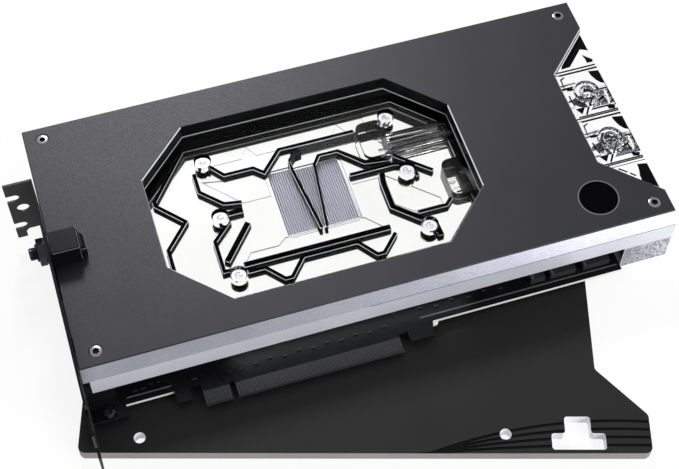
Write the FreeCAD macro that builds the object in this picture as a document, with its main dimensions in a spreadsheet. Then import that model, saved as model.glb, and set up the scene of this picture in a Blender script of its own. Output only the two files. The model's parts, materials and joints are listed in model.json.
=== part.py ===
import FreeCAD, Part
import os
import re
import Sketcher

# Full-cover liquid cooling block, mounted on its graphics card, lying on its detached backplate.
# Millimetres. The card frame has X along the card from the outer face of the slot bracket,
# Y up from the tips of the edge fingers and Z out of the component face of the circuit board.
# Every sub-part is drawn in that frame, and its Placement carries it into the part's own frame:
# origin at the middle of the footprint, on the surface that the backplate lies on.

SIZES = [
    # circuit board
    ("board_thick", 1.6, "thickness of the circuit board"),
    ("board_left", 1.3, "left edge of the board"),
    ("board_right", 233.8, "right edge of the board"),
    ("board_front", 10.3, "front edge of the board beside the fingers"),
    ("board_rear", 132.0, "rear edge of the board"),
    ("board_step", 14.0, "width of the rear left corner step"),
    ("board_step_y", 99.0, "height of the rear left corner step"),
    ("lug_tab_right", 15.5, "right edge of the front left tab"),
    ("lug_tab_low", 5.0, "front edge of the front left tab"),
    ("small_tab_left", 35.5, "left edge of the small tab"),
    ("small_tab_right", 42.0, "right edge of the small tab"),
    ("small_tab_low", 4.5, "front edge of the small tab"),
    ("finger_left", 46.5, "left edge of the short row of fingers"),
    ("short_row", 11.65, "width of the short row"),
    ("key_width", 1.9, "width of the key slot"),
    ("key_depth", 7.9, "depth of the key slot"),
    ("long_row", 71.65, "width of the long row"),
    ("hook_gap", 3.8, "gap between the long row and the hook"),
    ("hook_gap_depth", 8.5, "depth of the gap beside the hook"),
    ("hook_width", 10.0, "width of the retention hook at its tip"),
    ("hook_low", 3.5, "front edge of the hook"),
    ("hook_slope", 2.0, "run of the slanted side of the hook"),
    ("finger_bevel", 0.5, "bevel of the finger tips"),
    # processor and its neighbours
    ("chip_x", 115.4, "centre of the processor along the card"),
    ("chip_y", 77.9, "centre of the processor across the card"),
    ("substrate_side", 42.0, "side of the processor substrate"),
    ("substrate_thick", 1.9, "thickness of the substrate with its solder"),
    ("die_length", 26.0, "length of the die"),
    ("die_width", 25.0, "width of the die"),
    ("die_thick", 0.9, "thickness of the die with its paste"),
    ("memory_length", 12.0, "memory chip along X"),
    ("memory_width", 14.0, "memory chip along Y"),
    ("memory_thick", 1.2, "memory chip height"),
    ("memory_pitch", 17.0, "pitch of the memory chips"),
    ("memory_reach", 32.5, "centre of a memory column from the processor"),
    ("choke_side", 8.0, "side of a power choke"),
    ("choke_height", 3.6, "height of a power choke"),
    ("choke_pitch", 11.0, "pitch of the chokes"),
    ("choke_reach", 68.0, "choke column from the processor"),
    ("choke_pad", 1.0, "thermal pad on the chokes"),
    ("stage_length", 5.0, "power stage along X"),
    ("stage_width", 6.0, "power stage along Y"),
    ("stage_height", 0.9, "power stage height"),
    ("stage_step", 11.0, "power stage column from the choke column"),
    ("relief_gap", 1.0, "clearance of the base round the chokes"),
    ("column_y", 77.9, "middle of the power columns"),
    # cold plate
    ("cold_plate_thick", 6.2, "thickness of the nickel-plated copper base"),
    ("cold_plate_left", 26.0, "left edge of the base"),
    ("cold_plate_right", 227.0, "right edge of the base"),
    ("cold_plate_front", 27.0, "front edge of the base"),
    ("cold_plate_rear", 129.0, "rear edge of the base"),
    ("cold_plate_corner", 8.0, "bevelled corner of the base"),
    ("fin_field_length", 32.0, "fin field along X"),
    ("fin_field_width", 33.0, "fin field along Y"),
    ("fin_pitch", 1.0, "pitch of the fins"),
    ("fin_gap", 0.5, "gap between fins"),
    ("fin_depth", 3.2, "depth of the fin gaps"),
    ("boss_radius", 3.9, "circumradius of a hexagonal mounting boss"),
    ("recess_depth", 0.5, "depth of the plenum step round the fins"),
    ("plenum_length", 34.0, "plenum along X"),
    ("plenum_front", 23.2, "front edge of the plenum from the processor"),
    ("plenum_corner", 6.6, "bevel of the plenum's front corners"),
    ("plenum_rear", 17.5, "rear edge of the plenum from the processor"),
    # acrylic top
    ("acrylic_thick", 10.0, "thickness of the acrylic top"),
    ("acrylic_left", 17.0, "left edge of the acrylic"),
    ("acrylic_right", 235.0, "right edge of the acrylic, seat of the terminal"),
    ("acrylic_front", 18.2, "front edge of the acrylic"),
    ("acrylic_rear", 137.3, "rear edge of the acrylic"),
    ("acrylic_corner", 6.0, "bevelled corner of the acrylic"),
    ("cord", 1.5, "width of a sealing cord"),
    ("thin_cord", 1.0, "width of the cords beside the jet slot"),
    ("heavy_cord", 2.4, "width of the heavy sealing cords"),
    ("cord_height", 3.4, "height of a sealing cord"),
    ("seal_gap", 0.05, "gap that the squeezed cords keep between base and acrylic"),
    ("step_depth", 0.35, "depth of the shallow steps in the acrylic's underside"),
    ("channel_depth", 3.8, "depth of the flow channel in the acrylic"),
    ("shaft_depth", 7.4, "depth of the riser shafts in the acrylic"),
    ("shaft_corner", 3.5, "corner radius of the riser shafts"),
    ("riser_length", 12.6, "riser shaft along X"),
    ("riser_width", 19.0, "riser shaft across"),
    ("riser_in_x", 148.8, "inlet riser along the card"),
    ("riser_in_y", 96.2, "inlet riser across the card"),
    ("riser_out_x", 178.8, "outlet riser along the card"),
    ("riser_out_y", 66.6, "outlet riser across the card"),
    ("duct_radius", 2.6, "radius of a cross-drilled duct"),
    ("duct_pitch", 6.4, "pitch of the twin ducts"),
    ("duct_drop", 5.0, "duct axis below the top of the acrylic"),
    ("duct_in_y", 92.0, "middle of the inlet ducts"),
    ("duct_out_y", 64.0, "middle of the outlet ducts"),
    ("grid_x", 115.4, "middle of the acrylic screws along the card"),
    ("grid_y", 75.5, "middle of the acrylic screws across the card"),
    ("grid_pitch_x", 84.0, "spacing of the acrylic screws along X"),
    ("grid_pitch_y", 30.0, "spacing of the acrylic screws along Y"),
    # cover and rails
    ("cover_left", 1.3, "left edge of the cover"),
    ("cover_right", 256.6, "right edge of the cover"),
    ("cover_front", 17.1, "front edge of the cover"),
    ("cover_rear", 138.4, "rear edge of the cover"),
    ("cover_thick", 3.0, "thickness of the cover"),
    ("cover_bevel", 0.4, "bevel of the cover's rims"),
    ("collar_drop", 4.0, "collar from the cover down to the acrylic"),
    ("collar_wall", 3.0, "wall of the collar round the window"),
    ("window_x", 114.5, "middle of the window along the card"),
    ("window_y", 75.5, "middle of the window across the card"),
    ("window_length", 137.8, "window along X"),
    ("window_width", 90.0, "window along Y"),
    ("window_corner", 22.5, "bevelled corner of the window"),
    ("notch_depth", 21.4, "terminal notch along X"),
    ("notch_flat", 50.0, "straight inner side of the terminal notch"),
    ("notch_y", 75.0, "middle of the terminal notch"),
    ("cover_screw_left", 9.3, "left cover screws"),
    ("cover_screw_right", 249.8, "right cover screws"),
    ("cover_screw_inset", 6.4, "cover screws from the cover's long edges"),
    ("badge_x", 228.0, "centre of the badge along the card"),
    ("badge_y", 32.6, "centre of the badge across the card"),
    ("badge_radius", 9.0, "radius of the badge recess"),
    ("badge_rim", 0.7, "width of the badge ring"),
    ("badge_depth", 1.0, "depth of the badge recess"),
    ("badge_sink", 0.5, "disc below its ring"),
    ("rail_reach", 3.3, "rail face outside the cover's edge"),
    ("rail_slope", 5.9, "height of the rail's slanted facet"),
    ("rail_face", 9.7, "height of the rail's upright facet"),
    ("rail_wall", 2.1, "wall of the rail"),
    ("rail_ledge", 9.9, "ledge under the cover"),
    ("rail_inset", 2.6, "lower facet of the rail from its left end"),
    # terminal
    ("terminal_low", -4.0, "underside of the terminal block"),
    ("terminal_y", 75.0, "middle between the two ports"),
    ("port_pitch", 27.0, "spacing of the ports"),
    ("port_radius", 5.8, "core radius of the G1/4 port thread"),
    ("port_depth", 9.5, "depth of a port"),
    ("port_z", 11.0, "height of the port axes"),
    ("chamber_radius", 6.0, "radius of the upright chamber behind a port"),
    ("chamber_x", 245.2, "axis of the chambers"),
    ("chamber_low", 2.0, "floor of the chambers"),
    ("chamber_tall", 16.0, "height of the chambers"),
    ("passage_length", 14.0, "passage to the acrylic along Y"),
    ("passage_height", 6.4, "passage to the acrylic along Z"),
    ("ring_wall", 1.4, "section of a terminal sealing ring"),
    ("seam_width", 1.6, "width of the grooves between the port modules"),
    ("seam_depth", 1.2, "depth of the grooves between the port modules"),
    # slot bracket
    ("bracket_thick", 1.0, "thickness of the bracket sheet"),
    ("bracket_low_z", -3.6, "lower long edge of the bracket"),
    ("bracket_width", 38.8, "width of the two-slot bracket"),
    ("bracket_top", 105.1, "outer end of the bracket sheet, seat of the flange"),
    ("bracket_shoulder", -3.5, "end of the full-width sheet"),
    ("tongue_tip", -14.9, "tip of the tongues"),
    ("tongue_width", 10.2, "width of a tongue"),
    ("tongue_z", 5.6, "middle of the first tongue"),
    ("slot_pitch", 20.32, "pitch between two expansion slots"),
    ("flange_depth", 11.4, "reach of the flange"),
    ("flange_slot_z", 5.2, "middle of the first flange slot"),
    ("flange_slot_width", 4.4, "width of a flange slot"),
    ("flange_slot_depth", 5.6, "depth of a flange slot"),
    ("flange_hole_x", -5.6, "round hole of the flange, reach"),
    ("flange_hole_z", 17.6, "round hole of the flange, height"),
    ("flange_hole_radius", 2.7, "radius of the round hole"),
    ("flange_tab", 4.3, "width of the end tab"),
    ("flange_cut", 5.4, "length of the end tab"),
    ("flange_bevel", 1.5, "bevel where the end tab begins"),
    ("lug_length", 11.0, "length of the folded lugs"),
    ("lug_width", 6.0, "width of the folded lugs"),
    ("lug_front_y", 8.2, "front lug"),
    ("lug_rear_y", 95.4, "rear lug"),
    ("lug_screw_x", 8.2, "lug screws from the bracket"),
    ("vent_width", 3.0, "width of a vent"),
    ("vent_length", 19.0, "length of a vent"),
    ("vent_pitch", 5.2, "pitch of the vents across"),
    ("vent_row", 25.0, "pitch of the two vent rows"),
    ("vent_y", 17.0, "middle of the first vent row"),
    ("vent_z", 10.6, "first vent"),
    # sockets
    ("socket_depth", 13.0, "depth of a display socket"),
    ("socket_width", 17.0, "width of a display socket"),
    ("socket_height", 6.4, "height of a display socket"),
    ("socket_wall", 0.6, "shell wall of a socket"),
    ("socket_proud", 0.3, "socket beyond the bracket face"),
    ("socket_first", 24.0, "middle of the first display socket"),
    ("socket_pitch", 19.6, "pitch of the sockets"),
    ("hdmi_width", 15.0, "width of the wide socket"),
    ("tongue_thick", 1.2, "thickness of the tongue in a socket"),
    ("socket_back", 2.0, "solid back of a socket"),
    ("tongue_inset", 3.0, "tongue from the sides of its socket"),
    # push switch
    ("switch_y", 72.0, "axis of the push switch across the card"),
    ("switch_rise", 4.9, "axis of the push switch above the cover"),
    ("switch_length", 12.4, "housing of the switch along X"),
    ("switch_width", 11.2, "housing of the switch along Y"),
    ("switch_height", 9.6, "housing of the switch along Z"),
    ("switch_round", 0.8, "rounded edges of the housing"),
    ("boot_length", 2.6, "rear boot of the switch along X"),
    ("boot_height", 6.6, "rear boot of the switch along Z"),
    ("bush_radius", 3.7, "threaded bush of the switch"),
    ("bush_reach", 4.2, "bush beyond the bracket"),
    ("nut_flat", 10.0, "hexagon nut across flats"),
    ("nut_thick", 2.8, "thickness of the nut"),
    ("washer_thick", 0.6, "thickness of the washer"),
    ("washer_radius", 5.6, "radius of the washer"),
    ("button_radius", 2.6, "radius of the push button"),
    ("button_reach", 7.0, "push button beyond the bracket"),
    ("button_travel", 1.5, "travel of the push button"),
    ("button_buried", 3.0, "push button inside the housing"),
    # detached backplate
    ("plate_length", 231.4, "backplate along its front edge"),
    ("plate_depth", 125.0, "backplate from front to rear"),
    ("plate_thick", 5.5, "thickness of the rim of the backplate"),
    ("plate_skin", 3.0, "thickness of the backplate's skin"),
    ("plate_rim", 5.0, "width of the rim"),
    ("plate_round", 3.0, "corner radius of the backplate"),
    ("plate_step", 20.0, "step of the right side"),
    ("plate_step_v", 17.0, "start of the slanted right side"),
    ("plate_slant", 21.0, "height of the slanted right side"),
    ("plate_x", -8.0, "front left corner of the backplate along X"),
    ("plate_y", -2.7, "front left corner of the backplate along Y"),
    ("plate_turn", 17.3, "clockwise turn of the backplate in degrees"),
    ("plate_hole_radius", 2.4, "screw holes of the backplate"),
    ("plate_hole_left_u", 24.5, "left screw hole along the front edge"),
    ("plate_hole_left_v", 6.6, "left screw hole from the front edge"),
    ("plate_hole_right_inset", 58.9, "right screw hole from the right side"),
    ("plate_hole_right_v", 8.4, "right screw hole from the front edge"),
    ("cutout_inset", 29.4, "middle of the T-shaped cut-out from the right side"),
    ("cutout_v", 1.6, "front side of the cut-out"),
    ("cutout_bar", 22.0, "cross bar of the T, length"),
    ("cutout_bar_v", 7.2, "cross bar of the T, width"),
    ("cutout_stem", 10.6, "stem of the T, width"),
    ("cutout_tall", 14.6, "height of the whole T"),
    ("cutout_round", 1.2, "corner radius of the cut-out"),
    ("line_width", 1.2, "width of a styling groove"),
    ("line_depth", 0.3, "depth of a styling groove"),
    ("line_top_inset", 13.4, "crest of the styling grooves from the right side"),
    ("line_run", 76.0, "run of the styling grooves to their common start"),
    ("line_rise", 3.6, "step between the crests of the styling grooves"),
    # fasteners
    ("screw_radius", 1.5, "M3 shank"),
    ("screw_clearance", 0.1, "radial clearance of a shank in its hole"),
    ("screw_head", 2.4, "height of the hexagon heads under the board"),
    ("head_radius", 3.2, "circumradius of a hexagon head"),
    ("sunk_radius", 2.9, "countersunk head radius"),
    ("cap_radius", 3.5, "M4 cap head radius"),
    ("cap_shank", 2.0, "M4 shank radius"),
    ("cap_sink", 5.6, "counterbore depth in the acrylic"),
    ("cap_bite", 4.6, "M4 engagement in the base"),
    ("fit", 0.1, "side clearance of inset pieces"),
    ("spare", 1.0, "length by which a cutting tool stands out of what it cuts"),
    ("can_length", 6.4, "shortest edge capacitor"),
    ("can_width", 4.3, "width of the edge capacitors"),
    ("can_height", 3.2, "height of the edge capacitors"),
    ("can_row", 14.8, "front side of the edge capacitors"),
]

CHOKES = 5
MEMORY_ROWS = 3
VENTS = 5
GROOVES = 4

# Levels over the circuit board, from the seat of the cold plate to the face of the cover
SEAT = "(substrate_thick + die_thick)"
FLOOR = f"({SEAT} + cold_plate_thick)"
GLASS = f"({FLOOR} + acrylic_thick)"
UNDER = f"({GLASS} + collar_drop)"
FACE = f"({UNDER} + cover_thick)"
MIDDLE = "((cover_front + cover_rear) / 2)"
TERMINAL_END = "(cover_right - fit)"

# Sealing cords on the floor of the block, as points from the middle of the processor
THIN_CORDS = {
    "jet_left_wall": [(1.4, 23.6), (-2, 23), (-5.1, 19.4), (-5.4, 14), (-1.8, -18.6)],
    "jet_right_wall": [(0.6, -18.6), (4.6, 13.4), (8, 18), (16.4, 18), (26, 8.4), (37.2, 6.9)],
}
CORDS = {
    "rear_left_wall": [(-39, 26), (-34.4, 20.2), (-21.4, 20.2), (-17.4, 16.4), (-8, 26.4), (26.6, 26.4)],
    "left_knee": [(-47, 24.6), (-47, 14.6), (-38.4, 5.8), (-30.8, 4.4)],
    "left_elbow": [(-38.4, -3.6), (-47, -12), (-47, -27.4), (-41, -27.4)],
    "front_zigzag": [(-37.6, -30.4), (-30, -30.4), (-23.4, -38), (-20.4, -38), (-13.4, -29.8),
                     (10.8, -29.8), (17, -38), (20, -38), (27.6, -30)],
    "right_shelf": [(18, 4.2), (38.6, 4.2), (44.8, 1.4), (46.4, -5)],
    "right_slash": [(39.4, 8.6), (53.6, -4)],
    "outlet_lip": [(40, -23), (53.2, -23), (56.2, -20)],
}
HEAVY_CORDS = {
    "front_bar": [(-38.4, -26.6), (26.4, -26.6)],
    "left_arrow": [(-38, 0.2), (-31.4, 0.2)],
    "left_bolt": [(-44.6, -23), (-31, -6.6)],
    "right_bend": [(31.6, 1), (30.6, -4), (30.6, -17), (40.6, -26.4), (45.4, -29.6), (45.8, -37)],
}
# Outer sealing loop, from the middle of the window, with a notch in its left side
LOOP = [(-66, 17.4), (-48, 40.4), (48.6, 40.4), (67, 22), (67, -22), (49.5, -39.5), (-49, -39.5),
        (-66, -22.6), (-66, -8), (-55.4, 4), (-66, 15.6)]
# Flow channel in the acrylic, from the middle of the processor, down to the tip of the jet slot
CHANNEL = [(33.4, 25.4), (-3, 25.4), (-4.8, 19), (-4.6, 14), (-1, -18), (0, -18), (4, 14), (7.4, 18.8),
           (17, 18.8), (27, 9.6), (33.4, 9.6)]
# Shallow steps in the underside of the acrylic, from the middle of the processor
STEPS = [
    [(-44.4, 20.4), (-30, 4.9), (-17.6, 4.9), (-17.6, 15), (-21.4, 18.6), (-35, 18.6)],
    [(-37.4, -25), (-33.6, -20.4), (-21.4, -20.4), (-17.6, -17.4), (17.6, -17.4), (24.6, -25)],
    [(-40, 27.6), (-24.6, 27.6), (-21.4, 33.4), (-17.8, 27.6), (17, 27.6), (20.6, 33.4), (24.2, 27.6),
     (33, 27.6), (33, 36), (-40, 36)],
    [(18, 2.2), (31.4, 2.2), (52.4, -17.4), (52.4, -20.8), (39.4, -20.8), (32.6, -15), (32.6, 0.4),
     (18, 0.4)],
]
# Board screws that hold the block, from the middle of the processor
BLOCK_SCREWS = [(-32, -32), (32, -32), (-32, 32), (32, 32), (-82, -44), (90, -44), (-82, 44), (90, 44)]
# Capacitors along the front edge of the board: left side from the board's right edge, and length,
# both in lengths of the shortest one
EDGE_CAPACITORS = [(6.3, 1.0), (4.9, 1.8), (2.55, 1.9)]

WORD = re.compile(r"[a-z][a-z0-9_]*")
WORDS_KEPT = {"sin", "cos", "tan", "sqrt", "deg"}

doc = FreeCAD.newDocument("WaterBlock")
sheet = doc.addObject("Spreadsheet::Sheet", "Sizes")
for row, (alias, number, meaning) in enumerate(SIZES, 1):
    sheet.set(f"A{row}", str(number))
    sheet.setAlias(f"A{row}", alias)
    sheet.set(f"B{row}", meaning)
doc.recompute()

NODES = []


def cells(rule):
    """Write the names of sizes in a rule as cells of the sheet."""
    return WORD.sub(lambda m: m.group() if m.group() in WORDS_KEPT else f"Sizes.{m.group()}", str(rule))


def value(rule):
    """Number that a rule gives now."""
    result = sheet.evalExpression(cells(rule).replace("Sizes.", ""))
    return float(getattr(result, "Value", result))


def bind(thing, rules):
    """Bind properties of an object to rules, and return the object."""
    for name, rule in rules.items():
        thing.setExpression(name, cells(rule))
    return thing


def move(thing, x="0", y="0", z="0"):
    return bind(thing, {"Placement.Base.x": x, "Placement.Base.y": y, "Placement.Base.z": z})


def node(thing, label):
    """Name a finished sub-part and carry it from the card frame into the part's frame."""
    thing.Label = label
    move(thing, FRAME_X, FRAME_Y, FRAME_Z)
    NODES.append(thing)
    return thing


def box(name, x, y, z, length, width, height):
    solid = doc.addObject("Part::Box", name)
    bind(solid, {"Length": length, "Width": width, "Height": height})
    return move(solid, x, y, z)


TURNS = {"Z": FreeCAD.Rotation(), "X": FreeCAD.Rotation(FreeCAD.Vector(0, 1, 0), 90)}


def cylinder(name, x, y, z, radius, height, axis="Z"):
    """Cylinder from a point along Z or X."""
    solid = doc.addObject("Part::Cylinder", name)
    bind(solid, {"Radius": radius, "Height": height})
    solid.Placement.Rotation = TURNS[axis]
    return move(solid, x, y, z)


def hexagon(name, x, y, z, circumradius, height, axis="Z"):
    solid = doc.addObject("Part::Prism", name)
    solid.Polygon = 6
    bind(solid, {"Circumradius": circumradius, "Height": height})
    solid.Placement.Rotation = TURNS[axis]
    return move(solid, x, y, z)


def fuse(name, parts):
    solid = doc.addObject("Part::MultiFuse", name)
    solid.Shapes = parts
    solid.Refine = True
    return solid


def cut(name, base, tools):
    solid = doc.addObject("Part::Cut", name)
    solid.Base = base
    solid.Tool = tools[0] if len(tools) == 1 else fuse(name + "Tools", tools)
    solid.Refine = True
    return solid


def group(name, parts):
    """Like pieces that stay separate solids of one node."""
    solid = doc.addObject("Part::Compound", name)
    solid.Links = parts
    return solid


def add_polygon(sketch, corners, closed=True):
    """Line through corners, each held at its two rules."""
    first = sketch.GeometryCount
    spots = [FreeCAD.Vector(value(x), value(y), 0) for x, y in corners]
    last = len(corners) if closed else len(corners) - 1
    for i in range(last):
        sketch.addGeometry(Part.LineSegment(spots[i], spots[(i + 1) % len(spots)]), False)
    for i in range(last if closed else last - 1):
        follower = first + (i + 1) % last
        sketch.addConstraint(Sketcher.Constraint("Coincident", first + i, 2, follower, 1))
    for i, (x, y) in enumerate(corners):
        edge, end = (first + i, 1) if i < last else (first + last - 1, 2)
        hold_point(sketch, edge, end, x, y)


def hold_point(sketch, edge, end, x, y):
    """Hold one point of a sketch at two rules."""
    for kind, rule in (("DistanceX", x), ("DistanceY", y)):
        index = sketch.addConstraint(Sketcher.Constraint(kind, -1, 1, edge, end, value(rule)))
        sketch.setExpression(f"Constraints[{index}]", cells(rule))


def add_circle(sketch, x, y, radius):
    spot = FreeCAD.Vector(value(x), value(y), 0)
    edge = sketch.addGeometry(Part.Circle(spot, FreeCAD.Vector(0, 0, 1), value(radius)), False)
    hold_point(sketch, edge, 3, x, y)
    index = sketch.addConstraint(Sketcher.Constraint("Radius", edge, value(radius)))
    sketch.setExpression(f"Constraints[{index}]", cells(radius))


def add_slot(sketch, start, end, radius):
    """Slot with round ends between two centres."""
    spots = [FreeCAD.Vector(value(x), value(y), 0) for x, y in (start, end)]
    run = (spots[1] - spots[0]).normalize()
    side = FreeCAD.Vector(-run.y, run.x, 0) * value(radius)
    reach = run * value(radius)
    near, far = spots
    shapes = [Part.Arc(near + side, near - reach, near - side), Part.LineSegment(near - side, far - side),
              Part.Arc(far - side, far + reach, far + side), Part.LineSegment(far + side, near + side)]
    first = sketch.GeometryCount
    for shape in shapes:
        sketch.addGeometry(shape, False)
    for arc, line, arc_end, line_end in ((0, 1, 2, 1), (2, 1, 1, 2), (2, 3, 2, 1), (0, 3, 1, 2)):
        sketch.addConstraint(Sketcher.Constraint("Tangent", first + arc, arc_end, first + line, line_end))
    sketch.addConstraint(Sketcher.Constraint("Equal", first, first + 2))
    hold_point(sketch, first, 3, *start)
    hold_point(sketch, first + 2, 3, *end)
    index = sketch.addConstraint(Sketcher.Constraint("Radius", first, value(radius)))
    sketch.setExpression(f"Constraints[{index}]", cells(radius))


def body(name):
    return doc.addObject("PartDesign::Body", name)


def body_sketch(owner, name, plane="XY", level="0"):
    """Sketch on one of the body's own planes, lifted to a level along the plane's normal."""
    sketch = owner.newObject("Sketcher::SketchObject", name)
    support = next(f for f in owner.Origin.OriginFeatures if f.Role == f"{plane}_Plane")
    sketch.AttachmentSupport = [(support, "")]
    sketch.MapMode = "FlatFace"
    bind(sketch, {"AttachmentOffset.Base.z": level})
    return sketch


def pad(owner, sketch, length):
    feature = owner.newObject("PartDesign::Pad", sketch.Name + "Pad")
    feature.Profile = sketch
    return bind(feature, {"Length": length})


def pocket(owner, sketch, length, upward=False):
    """Pocket of a bound depth, downward from its sketch unless it is said to go upward."""
    feature = owner.newObject("PartDesign::Pocket", sketch.Name + "Pocket")
    feature.Profile = sketch
    feature.Reversed = upward
    return bind(feature, {"Length": length})


def dress(owner, kind, base, rule, wanted):
    """Fillet or chamfer on the edges of a feature that a test picks."""
    doc.recompute()
    names = [f"Edge{i}" for i, edge in enumerate(base.Shape.Edges, 1) if wanted(edge)]
    feature = owner.newObject(f"PartDesign::{kind}", base.Name + kind)
    feature.Base = (base, names)
    return bind(feature, {"Radius" if kind == "Fillet" else "Size": rule})


def straight_up(edge):
    return abs(edge.BoundBox.ZLength - edge.Length) < 1e-6


def flat_at(level):
    """Test for edges that lie in one level."""
    height = value(level)
    return lambda edge: abs(edge.BoundBox.ZMin - height) < 1e-4 and abs(edge.BoundBox.ZMax - height) < 1e-4


def octagon(x, y, length, width, corner):
    """Corners of a rectangle with bevelled corners about a middle."""
    left, right = f"{x} - ({length}) / 2", f"{x} + ({length}) / 2"
    low, high = f"{y} - ({width}) / 2", f"{y} + ({width}) / 2"
    return [(f"{left} + {corner}", low), (f"{right} - {corner}", low), (right, f"{low} + {corner}"),
            (right, f"{high} - {corner}"), (f"{right} - {corner}", high), (f"{left} + {corner}", high),
            (left, f"{high} - {corner}"), (left, f"{low} + {corner}")]


def rectangle(left, right, low, high):
    """Corners of a rectangle between four levels."""
    return [(left, low), (right, low), (right, high), (left, high)]


def from_point(points, x, y):
    """Corners given as plain distances from a named point."""
    return [(f"{x} + ({dx})", f"{y} + ({dy})") for dx, dy in points]


# Place of the card frame in the part's frame, from the outline of bracket, rails and backplate
PLATE_LOW = ("(plate_y - (plate_length - plate_round) * sin(plate_turn * 1deg)"
             " + plate_round * cos(plate_turn * 1deg) - plate_round)")
FRAME_X = "(flange_depth - cover_right) / 2"
FRAME_Y = f"-(cover_rear + rail_reach + {PLATE_LOW}) / 2"
FRAME_Z = "plate_thick + screw_head + board_thick"


def make_circuit_board():
    short_end = "finger_left + short_row"
    key_end = f"{short_end} + key_width"
    long_end = f"{key_end} + long_row"
    hook_start = f"{long_end} + hook_gap"
    hook_end = f"{hook_start} + hook_width"
    corners = [
        ("board_left", "lug_tab_low"), ("lug_tab_right", "lug_tab_low"), ("lug_tab_right", "board_front"),
        ("small_tab_left", "board_front"), ("small_tab_left", "small_tab_low"),
        ("small_tab_right", "small_tab_low"), ("small_tab_right", "board_front"),
        ("finger_left", "board_front"), ("finger_left", "0"), (short_end, "0"), (short_end, "key_depth"),
        (key_end, "key_depth"), (key_end, "0"), (long_end, "0"), (long_end, "hook_gap_depth"),
        (hook_start, "hook_gap_depth"), (hook_start, "hook_low"), (hook_end, "hook_low"),
        (f"{hook_end} + hook_slope", "board_front"), ("board_right", "board_front"),
        ("board_right", "board_rear"), ("board_step", "board_rear"), ("board_step", "board_step_y"),
        ("board_left", "board_step_y"),
    ]
    owner = body("CircuitBoard")
    outline = body_sketch(owner, "BoardOutline", level="-board_thick")
    add_polygon(outline, corners)
    for x, y in from_point(BLOCK_SCREWS, "chip_x", "chip_y"):
        add_circle(outline, x, y, "screw_radius + screw_clearance")
    for y in ("lug_front_y", "lug_rear_y"):
        add_circle(outline, "lug_screw_x", y, "screw_radius + screw_clearance")
    slab = pad(owner, outline, "board_thick")
    dress(owner, "Chamfer", slab, "finger_bevel",
          lambda edge: abs(edge.CenterOfMass.y) < 1e-6 and edge.Length > value("short_row") - 1)
    node(owner, "circuit_board")


def make_board_chips():
    half = "substrate_side / 2"
    node(group("Processor", [box("Substrate", f"chip_x - {half}", f"chip_y - {half}", "0",
                                 "substrate_side", "substrate_side", "substrate_thick")]), "gpu_substrate")
    node(group("ProcessorDie", [box("Die", "chip_x - die_length / 2", "chip_y - die_width / 2",
                                    "substrate_thick", "die_length", "die_width", "die_thick")]), "gpu_die")
    chips = []
    pads = []
    for side in (-1, 1):
        for step in range(MEMORY_ROWS):
            rank = step - (MEMORY_ROWS - 1) / 2
            x = f"chip_x + {side} * memory_reach - memory_length / 2"
            y = f"chip_y + {rank} * memory_pitch - memory_width / 2"
            name = f"Memory{side + 1}{step}"
            chips.append(box(name, x, y, "0", "memory_length", "memory_width", "memory_thick"))
            pads.append(box(name + "Pad", x, y, "memory_thick", "memory_length", "memory_width",
                            f"{SEAT} - memory_thick"))
    node(group("MemoryChips", chips), "memory_chips")
    node(group("MemoryPads", pads), "memory_pads")


def make_power_parts():
    chokes = []
    stages = []
    pads = []
    strip = f"{CHOKES} * choke_pitch"
    for side in (-1, 1):
        x = f"chip_x + {side} * choke_reach - choke_side / 2"
        stage_x = f"chip_x + {side} * (choke_reach - stage_step) - stage_length / 2"
        for step in range(CHOKES):
            rank = step - (CHOKES - 1) / 2
            y = f"column_y + {rank} * choke_pitch"
            chokes.append(box(f"Choke{side + 1}{step}", x, f"{y} - choke_side / 2", "0",
                              "choke_side", "choke_side", "choke_height"))
            stages.append(box(f"Stage{side + 1}{step}", stage_x, f"{y} - stage_width / 2", "0",
                              "stage_length", "stage_width", "stage_height"))
        pads.append(box(f"ChokePad{side + 1}", x, f"column_y - ({strip}) / 2", "choke_height",
                        "choke_side", strip, "choke_pad"))
        pads.append(box(f"StagePad{side + 1}", stage_x, f"column_y - ({strip}) / 2", "stage_height",
                        "stage_length", strip, f"{SEAT} - stage_height"))
    node(group("PowerChokes", chokes), "power_chokes")
    node(group("PowerStages", stages), "power_stages")
    node(group("PowerPads", pads), "power_pads")
    cans = []
    for i, (left, length) in enumerate(EDGE_CAPACITORS):
        cans.append(box(f"EdgeCapacitor{i}", f"board_right - {left} * can_length", "can_row", "0",
                        f"{length} * can_length", "can_width", "can_height"))
    node(group("EdgeCapacitors", cans), "edge_capacitors")


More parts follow.
